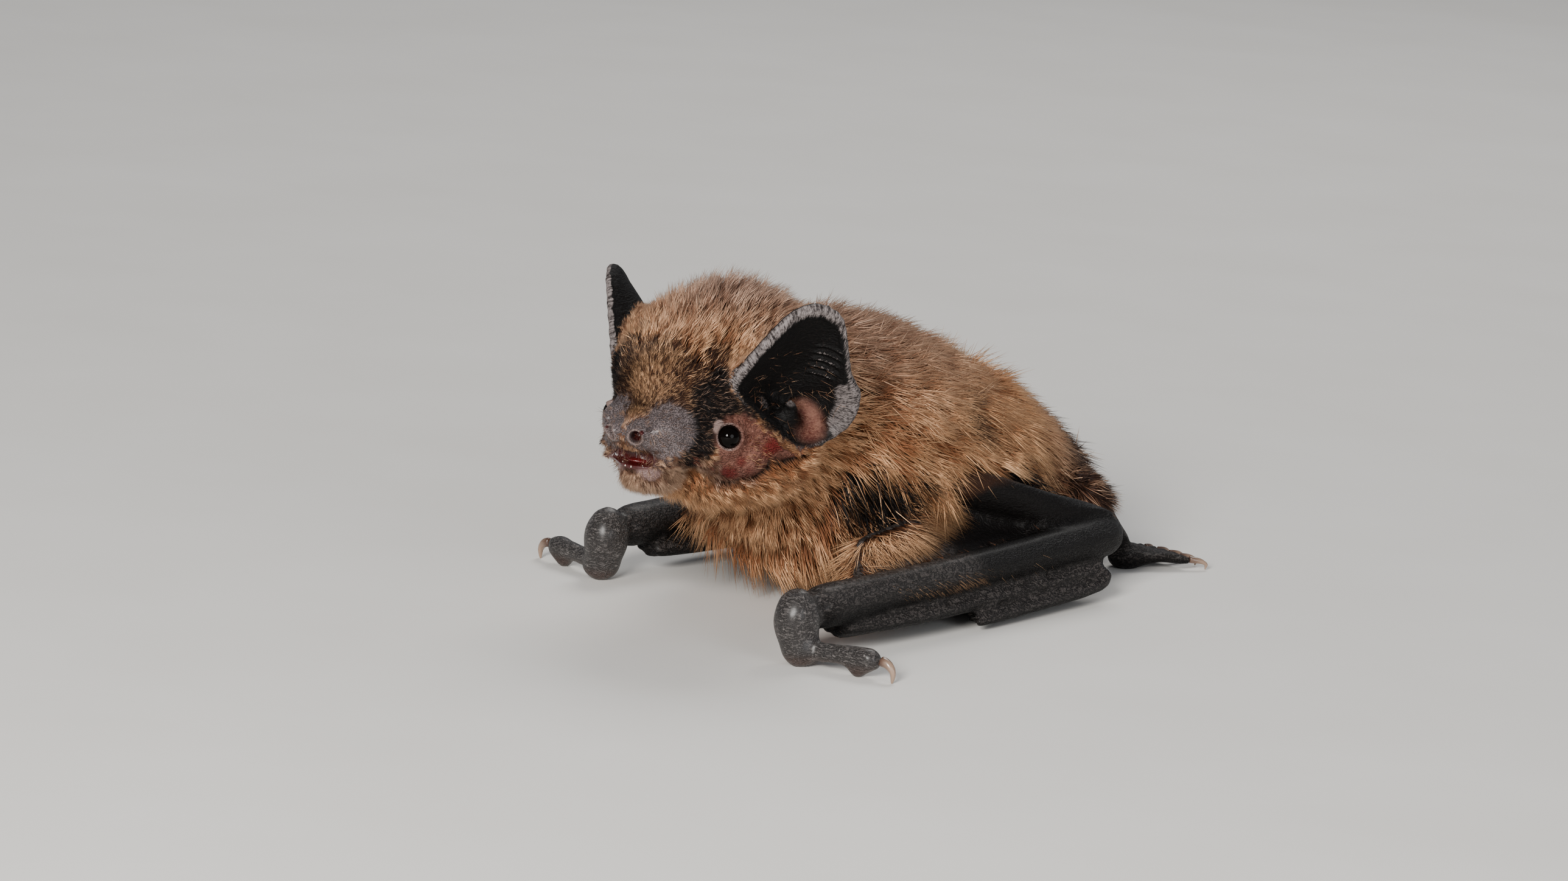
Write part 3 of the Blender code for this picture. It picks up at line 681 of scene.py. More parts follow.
# %% Lips
LIP_LINE = ((1.7, -6.7, -2.85), (2.35, -5.9, -3.0), (2.7, -4.9, -3.3), (3.15, -4.15, -3.6))


def folded_normals(mesh, side):
    """Normals in the head's axes, with both sides laid on the left one."""
    outward = normals_of(mesh) @ HEAD_AXES
    outward[:, 0] *= side
    return outward


p, side = folded_head(skin.data)
line_gap = to_path(p, LIP_LINE)
outward = folded_normals(skin.data, side)
crease = ease(0.16, 0.03, line_gap) * 0.16 - bell(line_gap, 0.28, 0.12) * 0.05
p -= outward * crease[:, None]
p[:, 2] += 0.32 * bell(p[:, 2], -3.15, 0.4) * ease(-5.6, -6.8, p[:, 1])
p[:, 2] += 0.22 * bell(p[:, 2], -2.15, 0.3) * ease(-6.4, -7.4, p[:, 1])
move(skin.data, p, side)
print("points along the lips:", int((line_gap < 0.28).sum()))

# %% [markdown]
# ## Sculpt the ears
# A bat's ear is a thick-edged scoop. In the ear's own axes each point gets a share: 0 in the
# deepest place and 1 at the margin. The margin is thickened into a rolled rim, four folds cross
# the back of the scoop, and the lobe behind the notch is puffed up.

# %% Axes and outline of the ear
EAR_MARGIN = np.array(((-3.95, 1.8), (-3.2, 3.1), (-2.0, 4.8), (-0.9, 6.2), (0.1, 6.8), (1.2, 6.8),
                       (2.3, 6.1), (2.8, 4.7), (3.2, 3.2), (3.5, 2.2), (4.15, 1.2), (4.1, -0.1),
                       (3.4, -1.2), (2.1, -2.1), (0.5, -2.1), (-1.2, -0.8), (-3.0, 0.6)))
EAR_DEEPEST = np.array((0.6, -0.2))
EAR_IN_HEAD = np.array((6.12, -0.61, 0.59))
EAR_AXES = np.array(((0.513, 0.859, 0.0), (0.203, -0.121, 0.972), (0.834, -0.498, -0.236))).T


def in_ear(head_points):
    """Across, up and out of the ear on the same side, from points in the head's axes."""
    return (on_left(head_points) - EAR_IN_HEAD) @ EAR_AXES


def around_ear(ear_points):
    """Share of the way from the deepest place to the margin, and the angle of each point."""
    spoke = EAR_MARGIN - EAR_DEEPEST
    margin_angle = np.arctan2(spoke[:, 1], spoke[:, 0])
    order = np.argsort(margin_angle)
    flat = ear_points[:, :2] - EAR_DEEPEST
    angle = np.arctan2(flat[:, 1], flat[:, 0])
    reach = np.interp(angle, margin_angle[order], lengths(spoke)[order], period=2 * math.pi)
    return lengths(flat) / reach, angle


def ear_folds(ear_points, facing):
    """A wave between -1 and 1 over the back of the scoop, nothing elsewhere."""
    across, along = ear_points[:, 0], ear_points[:, 1]
    wave = np.cos((along + 0.30 * (across - 1.9) ** 2) * 2 * math.pi / 0.5) * ease(0.1, 0.4, facing)
    wave = wave * ease(1.1, 1.6, across) * ease(3.0, 2.5, across)
    return wave * ease(1.6, 2.0, along) * ease(4.3, 3.8, along)


def ear_view(mesh):
    """Folded points and their side, their normals, their places in the ear and how they face it."""
    p, side = folded_head(mesh)
    outward = folded_normals(mesh, side)
    return p, side, outward, in_ear(p), outward @ EAR_AXES[:, 2]


# %% Rim, folds and lobe
p, side, outward, q, facing = ear_view(skin.data)
ear_mask = kept(skin.data, "ear")
share, angle = around_ear(q)
rolled = ease(0.86, 0.96, share) * 0.10
folds = 0.08 * ear_folds(q, facing)
lobe = np.exp(-((q[:, 0] - 3.5) / 0.9) ** 2 - ((q[:, 1] - 0.1) / 1.5) ** 2) * 0.18
p += outward * ((rolled + folds + lobe) * ease(0.3, 0.7, ear_mask))[:, None]
move(skin.data, p, side)
print("ear points:", int((ear_mask > 0.5).sum()))

# %% [markdown]
# ## Markings shared by skin and coat
# Both ask for the same numbers at a point: how golden or grey the place is, how dusky, how pale,
# the painted shade in the hollow and on the flank above the folded wing, and the zones of the face.
# They are kept as masks, and the shaders turn them into colour.

# %% Markings of any points
HOLLOW_SHADE = ((5.9, 0.0, 8.6, 1.8), (6.5, 1.8, 8.0, 1.6), (7.6, 1.4, 7.4, 1.1))
FLANK_EDGE = ((3.0, 5.0, 8.5, 20.0, 22.0), (3.8, 5.9, 8.0, 8.6, 8.2))
DARK_PATCHES = ((6.9, 8.0, 11.6, 1.5), (5.1, -2.6, 14.7, 1.6))


def markings(mesh_points, head_mask):
    """Named masks for any points, given how much each belongs to the head."""
    head_points = in_head(mesh_points)
    trunk_points = in_trunk(mesh_points)
    found = {name: zone(name, head_points) * head_mask for name in ZONES}
    found["pink"] *= ease(-4.95, -4.6, head_points[:, 1])
    crown = ease(3.0, 6.0, head_points[:, 2]) * head_mask
    spine = ease(11.5, 16.5, trunk_points[:, 2]) * (1 - head_mask)
    rump = ease(14.0, 22.0, trunk_points[:, 1]) * (1 - head_mask)
    chin = ease(-1.4, -2.2, head_points[:, 2]) * ease(-4.6, -6.0, head_points[:, 1]) * head_mask
    face = np.maximum.reduce([found[name] for name in ("muzzle", "lip", "dusky", "sparse")])
    found["grey"] = np.maximum.reduce([crown, spine * 0.8, rump * 0.7, chin, face])
    brow = ease(-3.2, -5.4, head_points[:, 1]) * ease(-0.5, 0.6, head_points[:, 2]) * 0.68
    brow = np.maximum(brow, zone("temple", head_points, 1.0)) * head_mask
    haunch = 0.85 * ease(15.5, 23.0, trunk_points[:, 1]) * ease(13.0, 8.0, trunk_points[:, 2])
    haunch = haunch * (1 - head_mask)
    folded = on_left(trunk_points)
    # The hollow by the shoulder and the flank above the folded wing are marked for painted shade: the skin
    # there is bared, and skin and fur are painted nearly black where shadow falls.
    hollow_shade = in_balls(trunk_points, HOLLOW_SHADE, 0.5, 0.4)
    edge = np.interp(folded[:, 1], *FLANK_EDGE)
    found["armpit"] = ease(edge + 0.5, edge - 0.3, folded[:, 2]) * ease(3.2, 5.2, folded[:, 1])
    flank = ease(6.2, 7.4, folded[:, 0]) * ease(2.8, 3.6, folded[:, 2]) * ease(21.0, 19.5, folded[:, 1])
    found["armpit"] *= flank
    found["armpit"] = np.maximum(found["armpit"], hollow_shade * 0.95) * (1 - head_mask)
    patches = in_balls(trunk_points, DARK_PATCHES, 0.9, 0.9)
    found["umber"] = np.maximum.reduce([brow, haunch, chin * 0.15, patches * 0.75])
    found["pale"] = np.maximum(ease(10.0, 4.5, trunk_points[:, 2]) * (1 - rump) * 0.45, chin)
    return found


# %% Masks of the ears
head_mask = kept(skin.data, "head")
found = markings(points_of(skin.data), head_mask)
p, _, _, q, facing = ear_view(skin.data)
share, angle = around_ear(q)
lobe = ease(1.5, 0.9, np.hypot(q[:, 0] - 3.7, q[:, 1] * 0.6)) * ease(0.55, 0.8, share)
tragus_mask = kept(skin.data, "tragus")
tragus_top = q[tragus_mask > 0.8, 1].max()
tragus_tip = tragus_mask * ease(tragus_top - 0.6, tragus_top + 0.1, q[:, 1])
margin = ease(0.82, 0.99, share) * (1 - 0.35 * ease(1.8, 2.6, q[:, 0]) * ease(5.6, 4.6, q[:, 1]))
ridges = 0.60 * ease(0.3, 0.9, ear_folds(q, facing))
front_spot = 0.56 * ease(0.9, 0.3, lengths(p - (4.6, -1.2, 0.95)))
rim = ear_mask * np.maximum.reduce([margin, lobe, ridges, front_spot]) * ease(-0.5, 0.1, facing)
found["rim"] = np.maximum(rim, tragus_tip)
found["canal"] = ease(1.3, 0.5, lengths(q[:, :2] - (1.6, -1.0))) * ear_mask
print("points on the pale rims:", int((found["rim"] > 0.5).sum()))

# %% Masks of lids, nostrils, mouth and wrists
MOUTH_MIDDLE = np.array((0.0, -6.1, -2.5))
inside_mouth = ease(1.2, 0.98, lengths((p - MOUTH_MIDDLE) / (1.75, 2.05, 0.62)))
eye_height, _, from_look = round_axis(p - EYE, EYE_LOOK)
lid = ease(0.64, 0.72, from_look) * ease(0.86, 0.78, from_look) * (eye_height > -0.3)
lid *= 0.25 + 0.65 * ease(0.3, -0.4, p[:, 1] - EYE[1])
wart = ease(0.42, 0.24, lengths((p - WART) / (1, 1, 1.5)))
hole = round_axis(p - NOSTRIL, NOSE_LOOK)[2]
# A painted highlight: a pale ring on the lower front rim of each nostril, joined to the pale lids and wart in
# one mask.
nostril_highlight = bell(hole, 0.44, 0.07) * (p[:, 1] < -7.2) * (p[:, 0] > 0.3) * 0.8
found["lid"] = np.maximum.reduce([lid, wart, nostril_highlight]) * head_mask
found["socket"] = ease(0.66, 0.56, from_look) * (eye_height > -1) * head_mask
# Inside the nostrils and the mouth the red lining is painted very dark: its own red, with painted shade in
# the hollows.
in_nostril = np.maximum(ease(0.34, 0.24, hole), ease(0.16, 0.09, to_segment(p, NOSTRIL, NOSTRIL_SLIT)))
found["nostril"] = in_nostril * head_mask * (p[:, 1] < -7.2) * (p[:, 0] > 0.3)
found["mouth"] = inside_mouth * head_mask
found["pad"] = ease(1.0, 0.3, in_trunk(points_of(skin.data))[:, 2]) * kept(skin.data, "wrist")
# Marks how much each place faces up, so that leather can be painted lighter on top and darker beneath:
# painted light and shade.
found["top"] = ease(-0.5, 0.45, normals_of(skin.data)[:, 2])
for name, values in found.items():
    keep(skin.data, "mark_" + name, values)
keep(skin.data, "ear_turn", angle)
keep(skin.data, "ear_share", share)
print({name: int((values > 0.5).sum()) for name, values in found.items()})

# %% [markdown]
# ## The skin's finish
# Bare skin is never one colour. The pink face is mottled with red and beaded with fine pores, the
# muzzle is grey and granular like orange peel, the wrists are charcoal leather wrinkled across,
# and the ears are black with a pale rim crossed by fine lines. Each cover below is laid over the
# ones before it: where it goes, its grain, and its dark and light tones. Under the coat the skin
# is dark, so that gaps between tufts read as shadow.

# %% Grain and leather
hide, wire, shader = new_material("bat_hide", Specular_IOR_Level=0.15, Coat_Roughness=0.32)
place = object_place(wire)
coarse = wire.noise(place, 900, 4, 0.6)
fine = wire.noise(place, 5200, 3, 0.6)
pores = wire.cells(place, 12000)
mask = {name: wire.stored("mark_" + name) for name in
        ("pink", "flushed", "sparse", "dusky", "muzzle", "lip", "rim", "canal", "mouth", "pad", "lid",
         "nostril", "socket", "armpit")}
ear, wrist, fore = wire.stored("ear"), wire.stored("wrist"), wire.stored("fore")
across = wire.node("ShaderNodeMapping", {}, {"Vector": place, "Scale": (0.6, 0.6, 1.8)})
wrinkles = wire.noise(across, 3000, 2, 0.6).crease() * 0.7 + wire.noise(place, 5200, 2, 0.6).crease() * 0.4
# Leather is painted darker along the creases of its wrinkles and on the sides that face down, and lighter
# where it faces up: painted shade and light over its own grey.
top = wire.stored("mark_top")
leather = (wrinkles * 0.5 + fine * 0.6).between(0.2, 0.9)
shaded_crease_tone = top.blend(tone(5, 4, 4), tone(14, 12, 12))
leather = leather.blend(shaded_crease_tone, top.blend(tone(22, 19, 18), tone(70, 65, 63)))
under_fur = coarse.blend(tone(26, 15, 9), tone(52, 30, 18))
is_trunk = wire.stored("trunk") + wire.stored("head") + wire.stored("arm") + wire.stored("thigh")
colour = is_trunk.between(0.3, 0.7).blend(leather, under_fur)
# The wrists' tones follow the wrinkles as well: their own grain, with painted shade along the creases.
wrist_skin = (wrinkles * 0.4 + fine * 0.6).between(0.2, 1.0).blend(tone(44, 41, 40), tone(106, 101, 99))
colour = wrist.between(0.3, 0.8).blend(colour, wrist_skin)

# %% Covers of the face and ears
# Each bead of the granular skin is painted lighter on its crown and darker between beads: painted highlight
# and shade of the relief, over the skin's own grain.
shaded_beads = (1 - pores * 1.3) * 0.6 + fine * 0.5
dusky_grain = (shaded_beads * coarse).between(0.34, 0.6)
grey_grain = (shaded_beads + coarse * 0.3 - 0.15).between(0.3, 0.8)
mottle = (coarse * 0.7 + fine * 0.5 + shaded_beads * 0.12).between(0.42, 0.88)
redness = (mask["flushed"] * (coarse + 0.5)).between(0.0, 1.1)
scoop = (ear + wire.stored("tragus")).between(0.35, 0.65)
round_ear = {"X": wire.stored("ear_turn") * 11, "Y": wire.stored("ear_share") * 3, "Z": ear}
rim_place = wire.node("ShaderNodeCombineXYZ", {}, round_ear)
rim_lines = wire.noise(rim_place, 5.5, 3, 0.6)
rim_grain = (rim_lines * 0.7 + fine * 0.3).between(0.38, 0.60)
rim = (mask["rim"] + (rim_lines - 0.5) * 0.9).between(0.42, 0.86)
COVERS = (
    # Painted shade: nearly black skin in the hollow by the shoulder and above the folded wing.
    (mask["armpit"], fine, (3, 2, 2), (15, 12, 11)),
    (mask["dusky"] * 0.97, dusky_grain, (4, 2, 2), (30, 20, 17)),
    (mask["muzzle"], grey_grain, (66, 58, 58), (124, 112, 112)),
    (mask["sparse"], mottle, (62, 26, 18), (112, 66, 52)),
    (mask["pink"], mottle, (62, 27, 19), (122, 84, 72)),
    (redness * 0.9, fine, (86, 14, 13), (86, 14, 13)),
    (mask["lip"], fine, (92, 70, 66), (142, 118, 114)),
    (scoop, fine.between(0.5, 0.78), (2, 1, 1), (16, 11, 9)),
    (rim, rim_grain, (36, 30, 29), (134, 125, 123)),
    (mask["canal"] * 0.8, mottle, (70, 24, 18), (126, 88, 74)),
    (mask["pad"] * 0.65, fine, (74, 54, 46), (74, 54, 46)),
    # Pale lids and wart, with a painted highlight on the rim of each nostril.
    (mask["lid"], fine, (84, 66, 60), (150, 130, 124)),
    (mask["socket"], fine, (12, 6, 5), (12, 6, 5)),
    # Red lining of the nostrils and mouth, darkened as painted shade in the hollows.
    (mask["nostril"], coarse, (20, 2, 2), (84, 16, 14)),
    (mask["mouth"], coarse, (20, 2, 2), (74, 12, 11)),
)
for cover, grain, dark, light in COVERS:
    colour = cover.blend(colour, grain.blend(tone(*dark), tone(*light)))
print("covers:", len(COVERS))

# %% Relief and sheen
relief = fine * 0.28 - pores * (mask["muzzle"] * 0.7 + mask["pink"] * 0.12 + mask["lip"] * 0.3) * 0.6
wrinkled = wrist * 0.9 + fore * 0.5 + wire.stored("foot") * 0.6
wrinkled = wrinkled + mask["pink"] * 0.35 + mask["sparse"] * 0.3 + 0.1
relief = relief + wrinkles * wrinkled + rim_lines * mask["rim"] * 1.2
bump = wire.node("ShaderNodeBump", {}, {"Height": relief, "Strength": 0.9, "Distance": 0.00028})
wet = mask["mouth"] * -0.3 + mask["muzzle"] * -0.08 + mask["dusky"] * 0.3 + ear * 0.15 + fine * 0.18 + 0.42
sheen = mask["muzzle"] * 0.36 + mask["mouth"] * 0.8 + mask["lip"] * 0.3
sheen = sheen + wrist * 0.42 + fore * top * 0.15 + mask["rim"] * 0.15
plug(shader, Base_Color=colour, Roughness=wet, Coat_Weight=sheen, Normal=bump)


def smooth_with(obj, finish):
    """Shades one object smoothly and gives it its only finish."""
    choose(obj)
    bpy.ops.object.shade_smooth()
    obj.data.materials.clear()
    obj.data.materials.append(finish)


smooth_with(skin, hide)
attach(skin, "root")
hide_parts(*flesh_names)
print("hide:", len(hide.node_tree.nodes), "shader nodes")

# %% [markdown]
# ## Eyes
# The eye is a black bead. It stands out a little where the lids leave it open, and its smooth
# gloss over a nearly black brown gives the bright point that makes it look alive.

# %% Eyes
EYE_RADIUS = 0.76
CORNEA_BULGE = 0.04
eye_finish, wire, shader = new_material("eye_gloss", Roughness=0.06, IOR=1.2)
dark_iris = wire.noise(object_place(wire), 2500, 3)
plug(shader, Base_Color=dark_iris.blend(tone(2, 1, 1), tone(9, 5, 3)))
for node, sign in (("left_eye", 1), ("right_eye", -1)):
    eye = new_solid(bpy.ops.mesh.primitive_uv_sphere_add, segments=48, ring_count=32, radius=1)
    eye.name = node + "_bead"
    ball = points_of(eye.data)
    forward = np.clip(ball @ EYE_LOOK, 0, 1)
    ball = ball * EYE_RADIUS + EYE_LOOK * (CORNEA_BULGE * ease(0.45, 1.0, forward))[:, None]
    set_points(eye.data, from_head((ball + EYE) * (sign, 1, 1)))
    if sign < 0:
        edit(eye, lambda: bpy.ops.mesh.normals_make_consistent(inside=False))
    smooth_with(eye, eye_finish)
    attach(eye, "root")
    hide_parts(node)
print("eyes, radius mm:", EYE_RADIUS)

# %% [markdown]
# ## Claws, tongue and teeth
# The twelve claws keep their carved shape, rounded by two subdivisions. They are stretched from
# the tip until the root sits inside the digit, and get the look of thin horn: brownish at the
# root and pale at the tip. The tongue is rounded the same way. The teeth are small cones that
# show only as glints between the lips.

# %% Claws
CLAW_STRETCH = 1.3
horn, wire, shader = new_material("claw_horn", Roughness=0.3, Coat_Weight=0.3)
streak = wire.noise(object_place(wire), 3000, 3)
tip = wire.stored("to_tip")
plug(shader, Base_Color=(tip + streak * 0.3).between(0.1, 1.1).blend(tone(66, 45, 36), tone(142, 118, 100)))
for node in sorted(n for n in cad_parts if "claw" in n):
    claw = merged_copy(node, node + "_horn", 2)
    spots = points_of(claw.data)
    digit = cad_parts[node.split("_")[0] + ("_foot" if "toe" in node else "_thumb")]
    middle = points_of(digit.data).mean(axis=0)
    reach = lengths(spots - middle)
    set_points(claw.data, spots[reach.argmax()] + (spots - spots[reach.argmax()]) * CLAW_STRETCH)
    keep(claw.data, "to_tip", (reach - reach.min()) / (reach.max() - reach.min()))
    smooth_with(claw, horn)
    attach(claw, "root")
    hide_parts(node)
print("claws stretched by", CLAW_STRETCH)

# %% Tongue
flesh_wet, wire, shader = new_material("tongue_wet", Roughness=0.25, Coat_Weight=0.4)
place = object_place(wire)
buds = wire.cells(place, 7000)
plug(shader, Base_Color=wire.noise(place, 1500, 3).blend(tone(52, 7, 8), tone(92, 20, 20)),
     Normal=wire.node("ShaderNodeBump", {}, {"Height": buds, "Strength": 0.4, "Distance": 0.00005}))
tongue = merged_copy("tongue", "tongue_tip", 2)
smooth_with(tongue, flesh_wet)
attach(tongue, "root")
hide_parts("tongue")
print("tongue:", len(tongue.data.polygons), "faces")

# %% Teeth
TEETH = ((0.22, -7.75, -2.86, 0.05, 0.11), (0.75, -7.35, -2.84, 0.06, 0.15))
enamel, wire, shader = new_material("tooth_enamel", Roughness=0.18, Coat_Weight=0.5)
cloudy = wire.noise(object_place(wire), 3000, 2)
plug(shader, Base_Color=cloudy.blend(tone(168, 152, 134), tone(214, 204, 188)))
cones = []
for x, y, z, radius, tall in TEETH:
    for sign in (1, -1):
        cone = new_solid(bpy.ops.mesh.primitive_cone_add, vertices=10, radius1=1, radius2=0.18, depth=1)
        apply_modifier(cone, "BEVEL", width=0.08, segments=2)
        shape = points_of(cone.data) * (radius, radius, tall) + np.array((x, y, z + tall * 0.3))
        set_points(cone.data, from_head(shape * (sign, 1, 1)))
        edit(cone, lambda: bpy.ops.mesh.normals_make_consistent(inside=False))
        cones.append(cone)
choose(*cones)
bpy.ops.object.join()
teeth = bpy.context.object
teeth.name = "small_teeth"
smooth_with(teeth, enamel)
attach(teeth, "root")
print("teeth:", len(TEETH) * 2)

# %% [markdown]
# ## The coat
# A pipistrelle's hairs are dark at the root and golden brown at the tip, a few millimetres long on
# the back and well under one on the face. Many thousands of hairs are stood for by solid tufts:
# thin three-sided blades, with one bend where the coat is long and straight where it is short.
# Two blades are modelled, and copies of their points are laid along a curve at every root.
# Particle hair would be quicker, but only solid mesh can be exported.

# %% Model one blade
def blade(name, cuts):
    """A slim three-sided spike, one unit long, cut across at the given heights."""
    made = new_solid(bpy.ops.mesh.primitive_cone_add, vertices=3, radius1=1, radius2=0, depth=1,
                     location=(0, 0, 0.5))
    made.name = name
    bpy.ops.object.transform_apply(location=True)
    for cut_height, fullness in cuts:
        edit(made, lambda: bpy.ops.mesh.bisect(plane_co=(0, 0, cut_height), plane_no=(0, 0, 1)))
        spots = points_of(made.data)
        ring = np.abs(spots[:, 2] - cut_height) < 1e-3
        spots[ring, :2] *= fullness / np.linalg.norm(spots[ring, :2], axis=1, keepdims=True)
        set_points(made.data, spots)
    spots = points_of(made.data)
    faces = [list(p.vertices) for p in made.data.polygons]
    bpy.data.objects.remove(made)
    print(name, "has", sum(len(f) - 2 for f in faces), "triangles")
    return spots, faces


long_blade = blade("long_blade", ((0.48, 1.0),))
short_blade = blade("short_blade", ())

# %% [markdown]
# ## Where the tufts stand and which way they lie
# Roots are scattered over the skin's triangles, closest where the coat is short. The lie of the
# coat fans out from the nose over the head, runs back along the trunk, falls down the flanks and
# hangs from the arms. Neighbouring tufts lean together into locks, which gives the coat its
# broken outline.

# %% What the skin says at each point
def triangle_rows(mesh, what):
    """Three indices for each triangle of a mesh, of its vertices or its loops."""
    mesh.calc_loop_triangles()
    rows = np.empty(len(mesh.loop_triangles) * 3, np.int32)
    mesh.loop_triangles.foreach_get(what, rows)
    return rows.reshape(-1, 3)


SEED = 11
STAND_ROUNDS = 10
dice = np.random.default_rng(SEED)
mesh = skin.data
corners = triangle_rows(mesh, "vertices")
skin_points, skin_normals = points_of(mesh), normals_of(mesh)
stand_normals = Neighbours(mesh).spread(skin_normals, STAND_ROUNDS)
mark = {name: kept(mesh, "mark_" + name) for name in
        ("pink", "muzzle", "lip", "dusky", "sparse", "mouth", "lid", "socket", "nostril", "armpit",
         "grey", "umber", "pale")}
soft_kind = {name: kept(mesh, name) for name in kind_names}
depth = kept(mesh, "depth")
print("masks read:", len(mark) + len(soft_kind))

# %% How furry each place is, and how close the tufts stand
p, _, _, q, facing = ear_view(mesh)
ear_back = ease(-0.1, -0.5, facing)
furry_ear = soft_kind["ear"] * ear_back * ease(4.2, 1.5, q[:, 1])
t = in_trunk(skin_points)
furry_arm = soft_kind["arm"] * ease(6.2, 2.8, t[:, 1])
faces_out = skin_normals[:, 0] * np.sign(t[:, 0])
furry_apron = soft_kind["apron"] * ease(3.4, 4.2, t[:, 2]) * ease(-0.5, -0.1, faces_out)
furry = soft_kind["head"] + soft_kind["trunk"] + furry_arm + furry_apron + soft_kind["thigh"] * 0.8
furry = ease(0.35, 0.75, furry + furry_ear)
furry *= 1 - ease(9.8, 10.6, np.abs(t[:, 0])) * ease(8.0, 7.0, t[:, 2])
SHARE_BARE = {"pink": 0.99, "muzzle": 0.985, "lip": 0.99, "mouth": 1.0, "dusky": 0.72, "sparse": 0.80,
              "lid": 1.0, "socket": 1.0, "nostril": 1.0, "armpit": 0.9}
for name, share_off in SHARE_BARE.items():
    furry = furry * (1 - mark[name] * share_off)
furry = furry * ease(1.15, 1.5, lengths(p - EYE))
upper_lip = 0.75 * soft_kind["head"] * ease(-6.3, -7.0, p[:, 1]) * ease(-1.5, -1.8, p[:, 2])
furry = furry * (1 - upper_lip * ease(-3.3, -3.0, p[:, 2]))
closeness = 1 + 0.5 * soft_kind["head"] - 0.5 * np.clip(soft_kind["arm"] + soft_kind["apron"], 0, 1)
closeness = closeness / (0.28 + np.minimum(depth, 2.0) * 0.55)
a, b, c = (skin_points[corners[:, i]] for i in range(3))
triangle_size = lengths(np.cross(b - a, c - a)) / 2 / MM ** 2
weight = triangle_size * (furry * closeness)[corners].mean(axis=1)
print("furred skin, mm2:", round(float((triangle_size * furry[corners].mean(axis=1)).sum())))

# %% Roots, and the lie of the coat
def scatter(count, chance):
    """Roots on the skin: their corners, their shares of them, and how to read a value there."""
    picked = dice.choice(len(corners), count, p=chance / chance.sum())
    first, second = dice.random((2, count))
    over = first + second > 1
    first[over], second[over] = 1 - first[over], 1 - second[over]
    shares = np.stack((1 - first - second, first, second), axis=1)
    return lambda values: np.einsum("ni,ni...->n...", shares, values[corners[picked]])


def lie_of_coat(roots, normals, on_head, on_arm):
    """Unit vectors along the skin, the way the coat lies at each root."""
    head_points = in_head(roots)
    from_nose = unit(head_points - (0, -10.0, -0.6)) * (1.3, 1.0, 1.0) + (0, 0.35, 0)
    from_nose[:, 2] -= 0.55 * ease(0.5, -3.0, head_points[:, 2])
    falling = -0.12 - 0.55 * np.abs(normals[:, 0])
    on_trunk = np.stack((normals[:, 0] * 0.15, np.ones(len(roots)), falling), axis=1)
    along_arm = np.clip(0.1 * in_trunk(roots)[:, 1] - 0.2, -0.4, 0.3)
    down_arm = np.stack((np.sign(roots[:, 0]) * 0.45, along_arm, np.full(len(roots), -0.9)), axis=1)
    on_trunk = unit(on_trunk) * (1 - on_arm)[:, None] + unit(down_arm) * on_arm[:, None]
    way = unit(from_nose @ HEAD_AXES.T) * on_head[:, None] + unit(on_trunk) * (1 - on_head)[:, None]
    way -= normals * np.einsum("ij,ij->i", way, normals)[:, None]
    return unit(way)


# %% Unwrap a coarse cage of the skin for the tufts' bake places
CAGE_TRIANGLES = 7000
cage = skin.copy()
cage.data = skin.data.copy()
cage.parent = None
show(cage)
apply_modifier(cage, "DECIMATE", ratio=CAGE_TRIANGLES / len(corners))
edit(cage, lambda: bpy.ops.uv.smart_project(angle_limit=math.radians(66), island_margin=0.004))
cage_corners = triangle_rows(cage.data, "vertices")
cage_uv = np.empty(len(cage.data.loops) * 2, np.float32)
cage.data.uv_layers.active.data.foreach_get("uv", cage_uv)
cage_uv = cage_uv.reshape(-1, 2)[triangle_rows(cage.data, "loops")].astype(float)
cage_points = points_of(cage.data)
cage_tree = BVHTree.FromPolygons([Vector(v) for v in cage_points], cage_corners.tolist())
bpy.data.objects.remove(cage)
print("cage triangles:", len(cage_corners))


def bake_places(roots):
    """Where roots fall on the unwrap of the skin."""
    face = np.array([cage_tree.find_nearest(Vector(r))[2] for r in roots])
    a, b, c = (cage_points[cage_corners[face, i]] for i in range(3))
    v0, v1, v2 = b - a, c - a, roots - a
    d00, d01, d11 = ((x * y).sum(1) for x, y in ((v0, v0), (v0, v1), (v1, v1)))
    d20, d21 = (v2 * v0).sum(1), (v2 * v1).sum(1)
    low = np.maximum(d00 * d11 - d01 * d01, 1e-24)
    second, third = (d11 * d20 - d01 * d21) / low, (d00 * d21 - d01 * d20) / low
    shares = np.clip(np.stack((1 - second - third, second, third), axis=1), 0, 1)
    shares /= shares.sum(1, keepdims=True)
    return np.einsum("ni,nij->nj", shares, cage_uv[face])


# %% Plant tufts as one joined mesh
BAKE_PATCH = 0.003
FLOOR_GAP = 0.06 * MM


